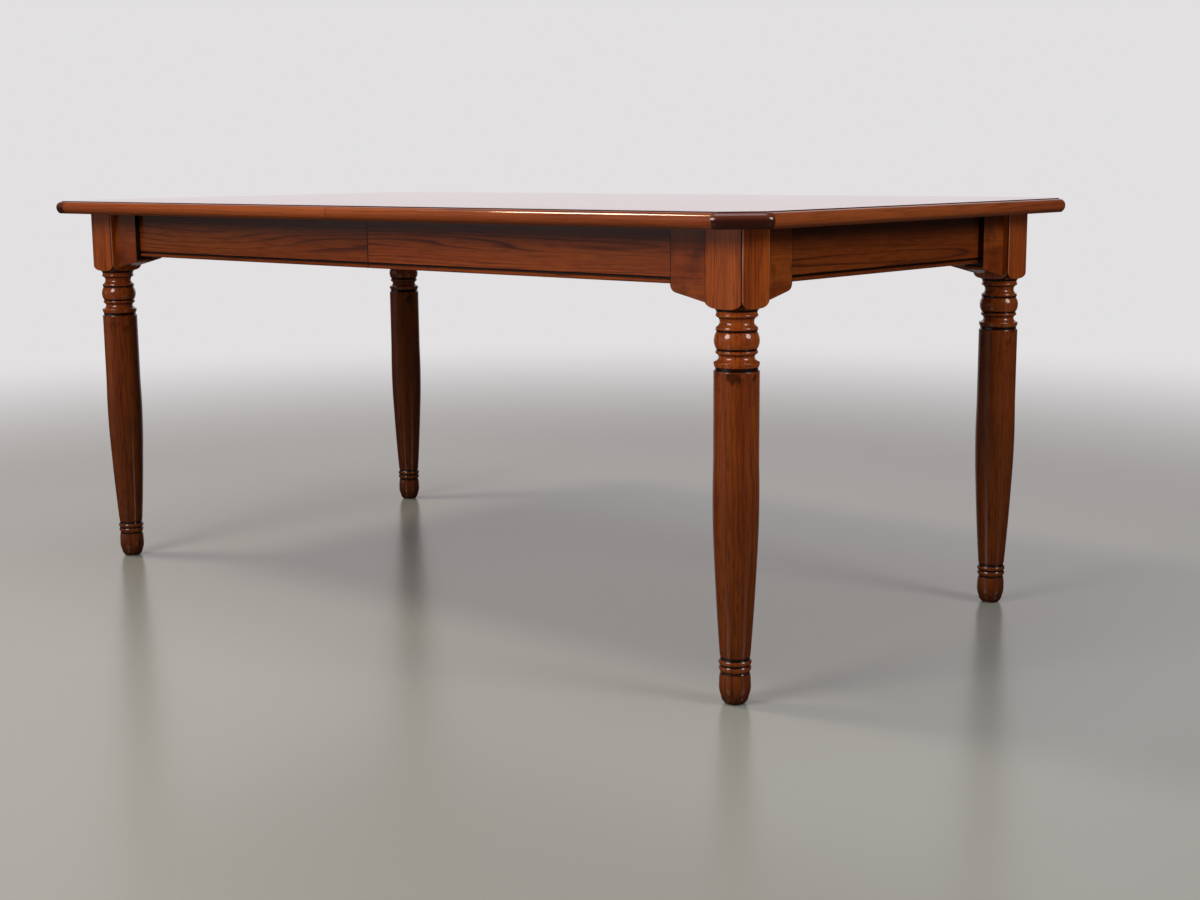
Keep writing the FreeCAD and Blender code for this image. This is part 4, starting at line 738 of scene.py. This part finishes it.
# %% Floor material
BACKDROP = "e2e0e1"
FLOOR_PAINT, FLOOR_IN_LACQUER = "a5a8a4", "2a1c14"
FADE = (1.6, 4.6)


def painted_floor():
    """Satin paint that turns into the backdrop's colour far out.

    A little sheen sets the feet on the floor with a soft reflection, and keeps the shadow clear.
    """
    material, tree, place, _ = blank_material("painted_floor")
    rays = add(tree, "LightPath").node.outputs
    tint = paint(tree, FLOOR_PAINT, FLOOR_IN_LACQUER, rays["Is Glossy Ray"], 0.95)
    finish = {"Base Color": tint, "Roughness": 0.24, "Specular IOR Level": 0.35}
    satin = add(tree, "BsdfPrincipled", finish)
    glow = add(tree, "Emission", {"Color": linear(BACKDROP), "Strength": 1.0})
    far = add(tree, "VectorMath", [place], out="Value", operation="LENGTH")
    fade = add(tree, "Math", (window(tree, far, FADE), rays["Is Camera Ray"]), operation="MULTIPLY")
    add(tree, "OutputMaterial", [add(tree, "MixShader", [fade, satin, glow])])
    return material


print("the floor fades out between", FADE[0], "and", FADE[1], "metres from the table's middle")

# %% [markdown] ### The floor itself  The floor is one large square at height 0, where the feet stand. It
# reaches much further than the camera sees, so its edges never show. A plane from the Add menu would be
# the same square, but four corner points say its size plainly.

# %% The floor itself
FLOOR_REACH = 14.0
mesh = bpy.data.meshes.new("floor")
corners = [(x * FLOOR_REACH, y * FLOOR_REACH, 0.0) for x, y in ((-1, -1), (1, -1), (1, 1), (-1, 1))]
mesh.from_pydata(corners, [], [(0, 1, 2, 3)])
mesh.materials.append(painted_floor())
floor = bpy.data.objects.new("floor", mesh)
bpy.context.scene.collection.objects.link(floor)
floor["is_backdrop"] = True
print("the floor is", 2 * FLOOR_REACH, "metres across")

# %% [markdown]
# ## The room that the lacquer mirrors
#
# The top mirrors something wide and pale so strongly that its boards can hardly be seen, while the rails
# mirror a dim room. White panels round the table could do that, but they would light the wood as well. So
# the world differs by direction, for reflections only: each pale part is a direction, the two cosines
# between which it fades in, and a brightness.

# %% The mirrored room
PALE_PARTS = (
    ((-0.66, 0.75, 0.0), 0.70, 0.93, 0.98),
    ((-0.52, -0.85, 0.0), 0.90, 1.00, 0.50),
    ((-0.84, -0.545, 0.0), 0.94, 0.99, 0.13),
)
DIM_ROOM = 0.02

world = bpy.data.worlds.new("studio")
bpy.context.scene.world = world
world.use_nodes = True
sky = world.node_tree
sky.nodes.clear()
heading = add(sky, "TexCoord", out="Generated")
room = DIM_ROOM
for direction, start, end, brightness in PALE_PARTS:
    cosine = add(sky, "VectorMath", {0: heading, 1: direction}, out="Value", operation="DOT_PRODUCT")
    pale = window(sky, cosine, (start, end))
    room = add(sky, "Math", (pale, brightness, room), operation="MULTIPLY_ADD")
print("pale parts of the room:", len(PALE_PARTS))

# %% [markdown]
# ### One world for each kind of ray
#
# The camera sees the plain backdrop, the wood is lit by a faint, even fill, and only reflections show the
# room of the last step. One background for all three would be simpler, but then a brighter backdrop would
# also wash out the wood. Light Path says which kind of ray asks.

# %% What the camera, the wood and the lacquer see
seen = add(sky, "Background", {"Color": linear(BACKDROP), "Strength": 1.0})
fill = add(sky, "Background", {"Color": linear("e8ecf0"), "Strength": 0.16})
mirrored = add(sky, "Background", {"Color": linear("e3dcdf"), "Strength": room})
rays = add(sky, "LightPath").node.outputs
lit = add(sky, "MixShader", [rays["Is Glossy Ray"], fill, mirrored])
add(sky, "OutputWorld", [add(sky, "MixShader", [rays["Is Camera Ray"], lit, seen])])
print("nodes in the world:", len(sky.nodes))

# %% [markdown]
# ## Light
#
# Four soft lights. Spot lamps would give hard shadows; large ones give the soft shading of a room. The
# reflections of `front_light` and `end_light` are the two pale spots on every ring of the near leg, and
# round lamps give round spots. `high_light` fills from above. `edge_light` stands where the moulded front
# edge mirrors it towards the camera, which draws the warm line along that edge.


# %% Soft lights
def soft_light(name, place, target, size, power, tint):
    """An area light that faces a point; sizes are in metres and power in watts."""
    light = bpy.data.lights.new(name, "AREA")
    light.shape = "ELLIPSE"
    light.size, light.size_y = size
    light.energy = power
    light.color = linear(tint)[:3]
    lamp = bpy.data.objects.new(name, light)
    lamp.location = place
    lamp.rotation_mode = "QUATERNION"
    lamp.rotation_quaternion = (Vector(target) - Vector(place)).to_track_quat("-Z", "Y")
    lamp.visible_camera = False
    bpy.context.scene.collection.objects.link(lamp)


soft_light("front_light", (-0.16, -3.45, 2.10), (0.3, -0.4, 0.5), (1.7, 1.5), 62.0, "fff6ee")
soft_light("end_light", (3.92, 0.30, 2.10), (0.6, -0.1, 0.5), (1.5, 1.5), 48.0, "fff6ee")
soft_light("high_light", (0.4, -0.3, 4.2), (0.2, 0.0, 0.0), (3.0, 3.0), 40.0, "f6f8ff")
soft_light("edge_light", (-2.30, -1.35, 4.0), (0.55, -0.51, 0.745), (0.9, 0.9), 62.0, "ffedd0")

# %% [markdown]
# ## Camera
#
# The place and direction were solved from the photograph: the photographer stood off the near corner with
# the lens a little above the table top. A camera can be aimed at an object with a constraint, but solved
# angles repeat the photograph's own framing. Yaw, pitch and roll are in radians. They give three
# directions: across, below and ahead. With the last two turned round, because Blender's camera looks back
# along its own Z with Y up, these are the columns of the camera's matrix.

# %% Camera
YAW, PITCH, ROLL = 0.7185, 0.1662, 0.0079
STAND = (2.3171, -2.4447, 0.8207)
FOCAL_LENGTH, SENSOR_WIDTH = 51.58, 36.0

ahead = Vector((-math.sin(YAW) * math.cos(PITCH), math.cos(YAW) * math.cos(PITCH), -math.sin(PITCH)))
right = Vector((math.cos(YAW), math.sin(YAW), 0.0))
down = ahead.cross(right)
across = right * math.cos(ROLL) + down * math.sin(ROLL)
below = down * math.cos(ROLL) - right * math.sin(ROLL)
lens = bpy.data.cameras.new("camera")
lens.lens = FOCAL_LENGTH
lens.sensor_width = SENSOR_WIDTH
lens.clip_start, lens.clip_end = 0.05, 60.0
camera = bpy.data.objects.new("camera", lens)
camera.matrix_world = Matrix((across, -below, -ahead)).transposed().to_4x4()
camera.location = STAND
bpy.context.scene.collection.objects.link(camera)
bpy.context.scene.camera = camera
print("lens above the table top, in millimetres:", round((STAND[2] - TOP_HEIGHT) * 1000))

# %% [markdown]
# ## Picture settings and sizes
#
# The Standard view shows colours as they are written, where the default one would soften them. The model's
# size after dressing is printed.

# %% Picture settings and sizes
bpy.context.scene.view_settings.view_transform = "Standard"

low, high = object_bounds()
print("dressed size in metres:", [round(b - a, 3) for a, b in zip(low, high)])
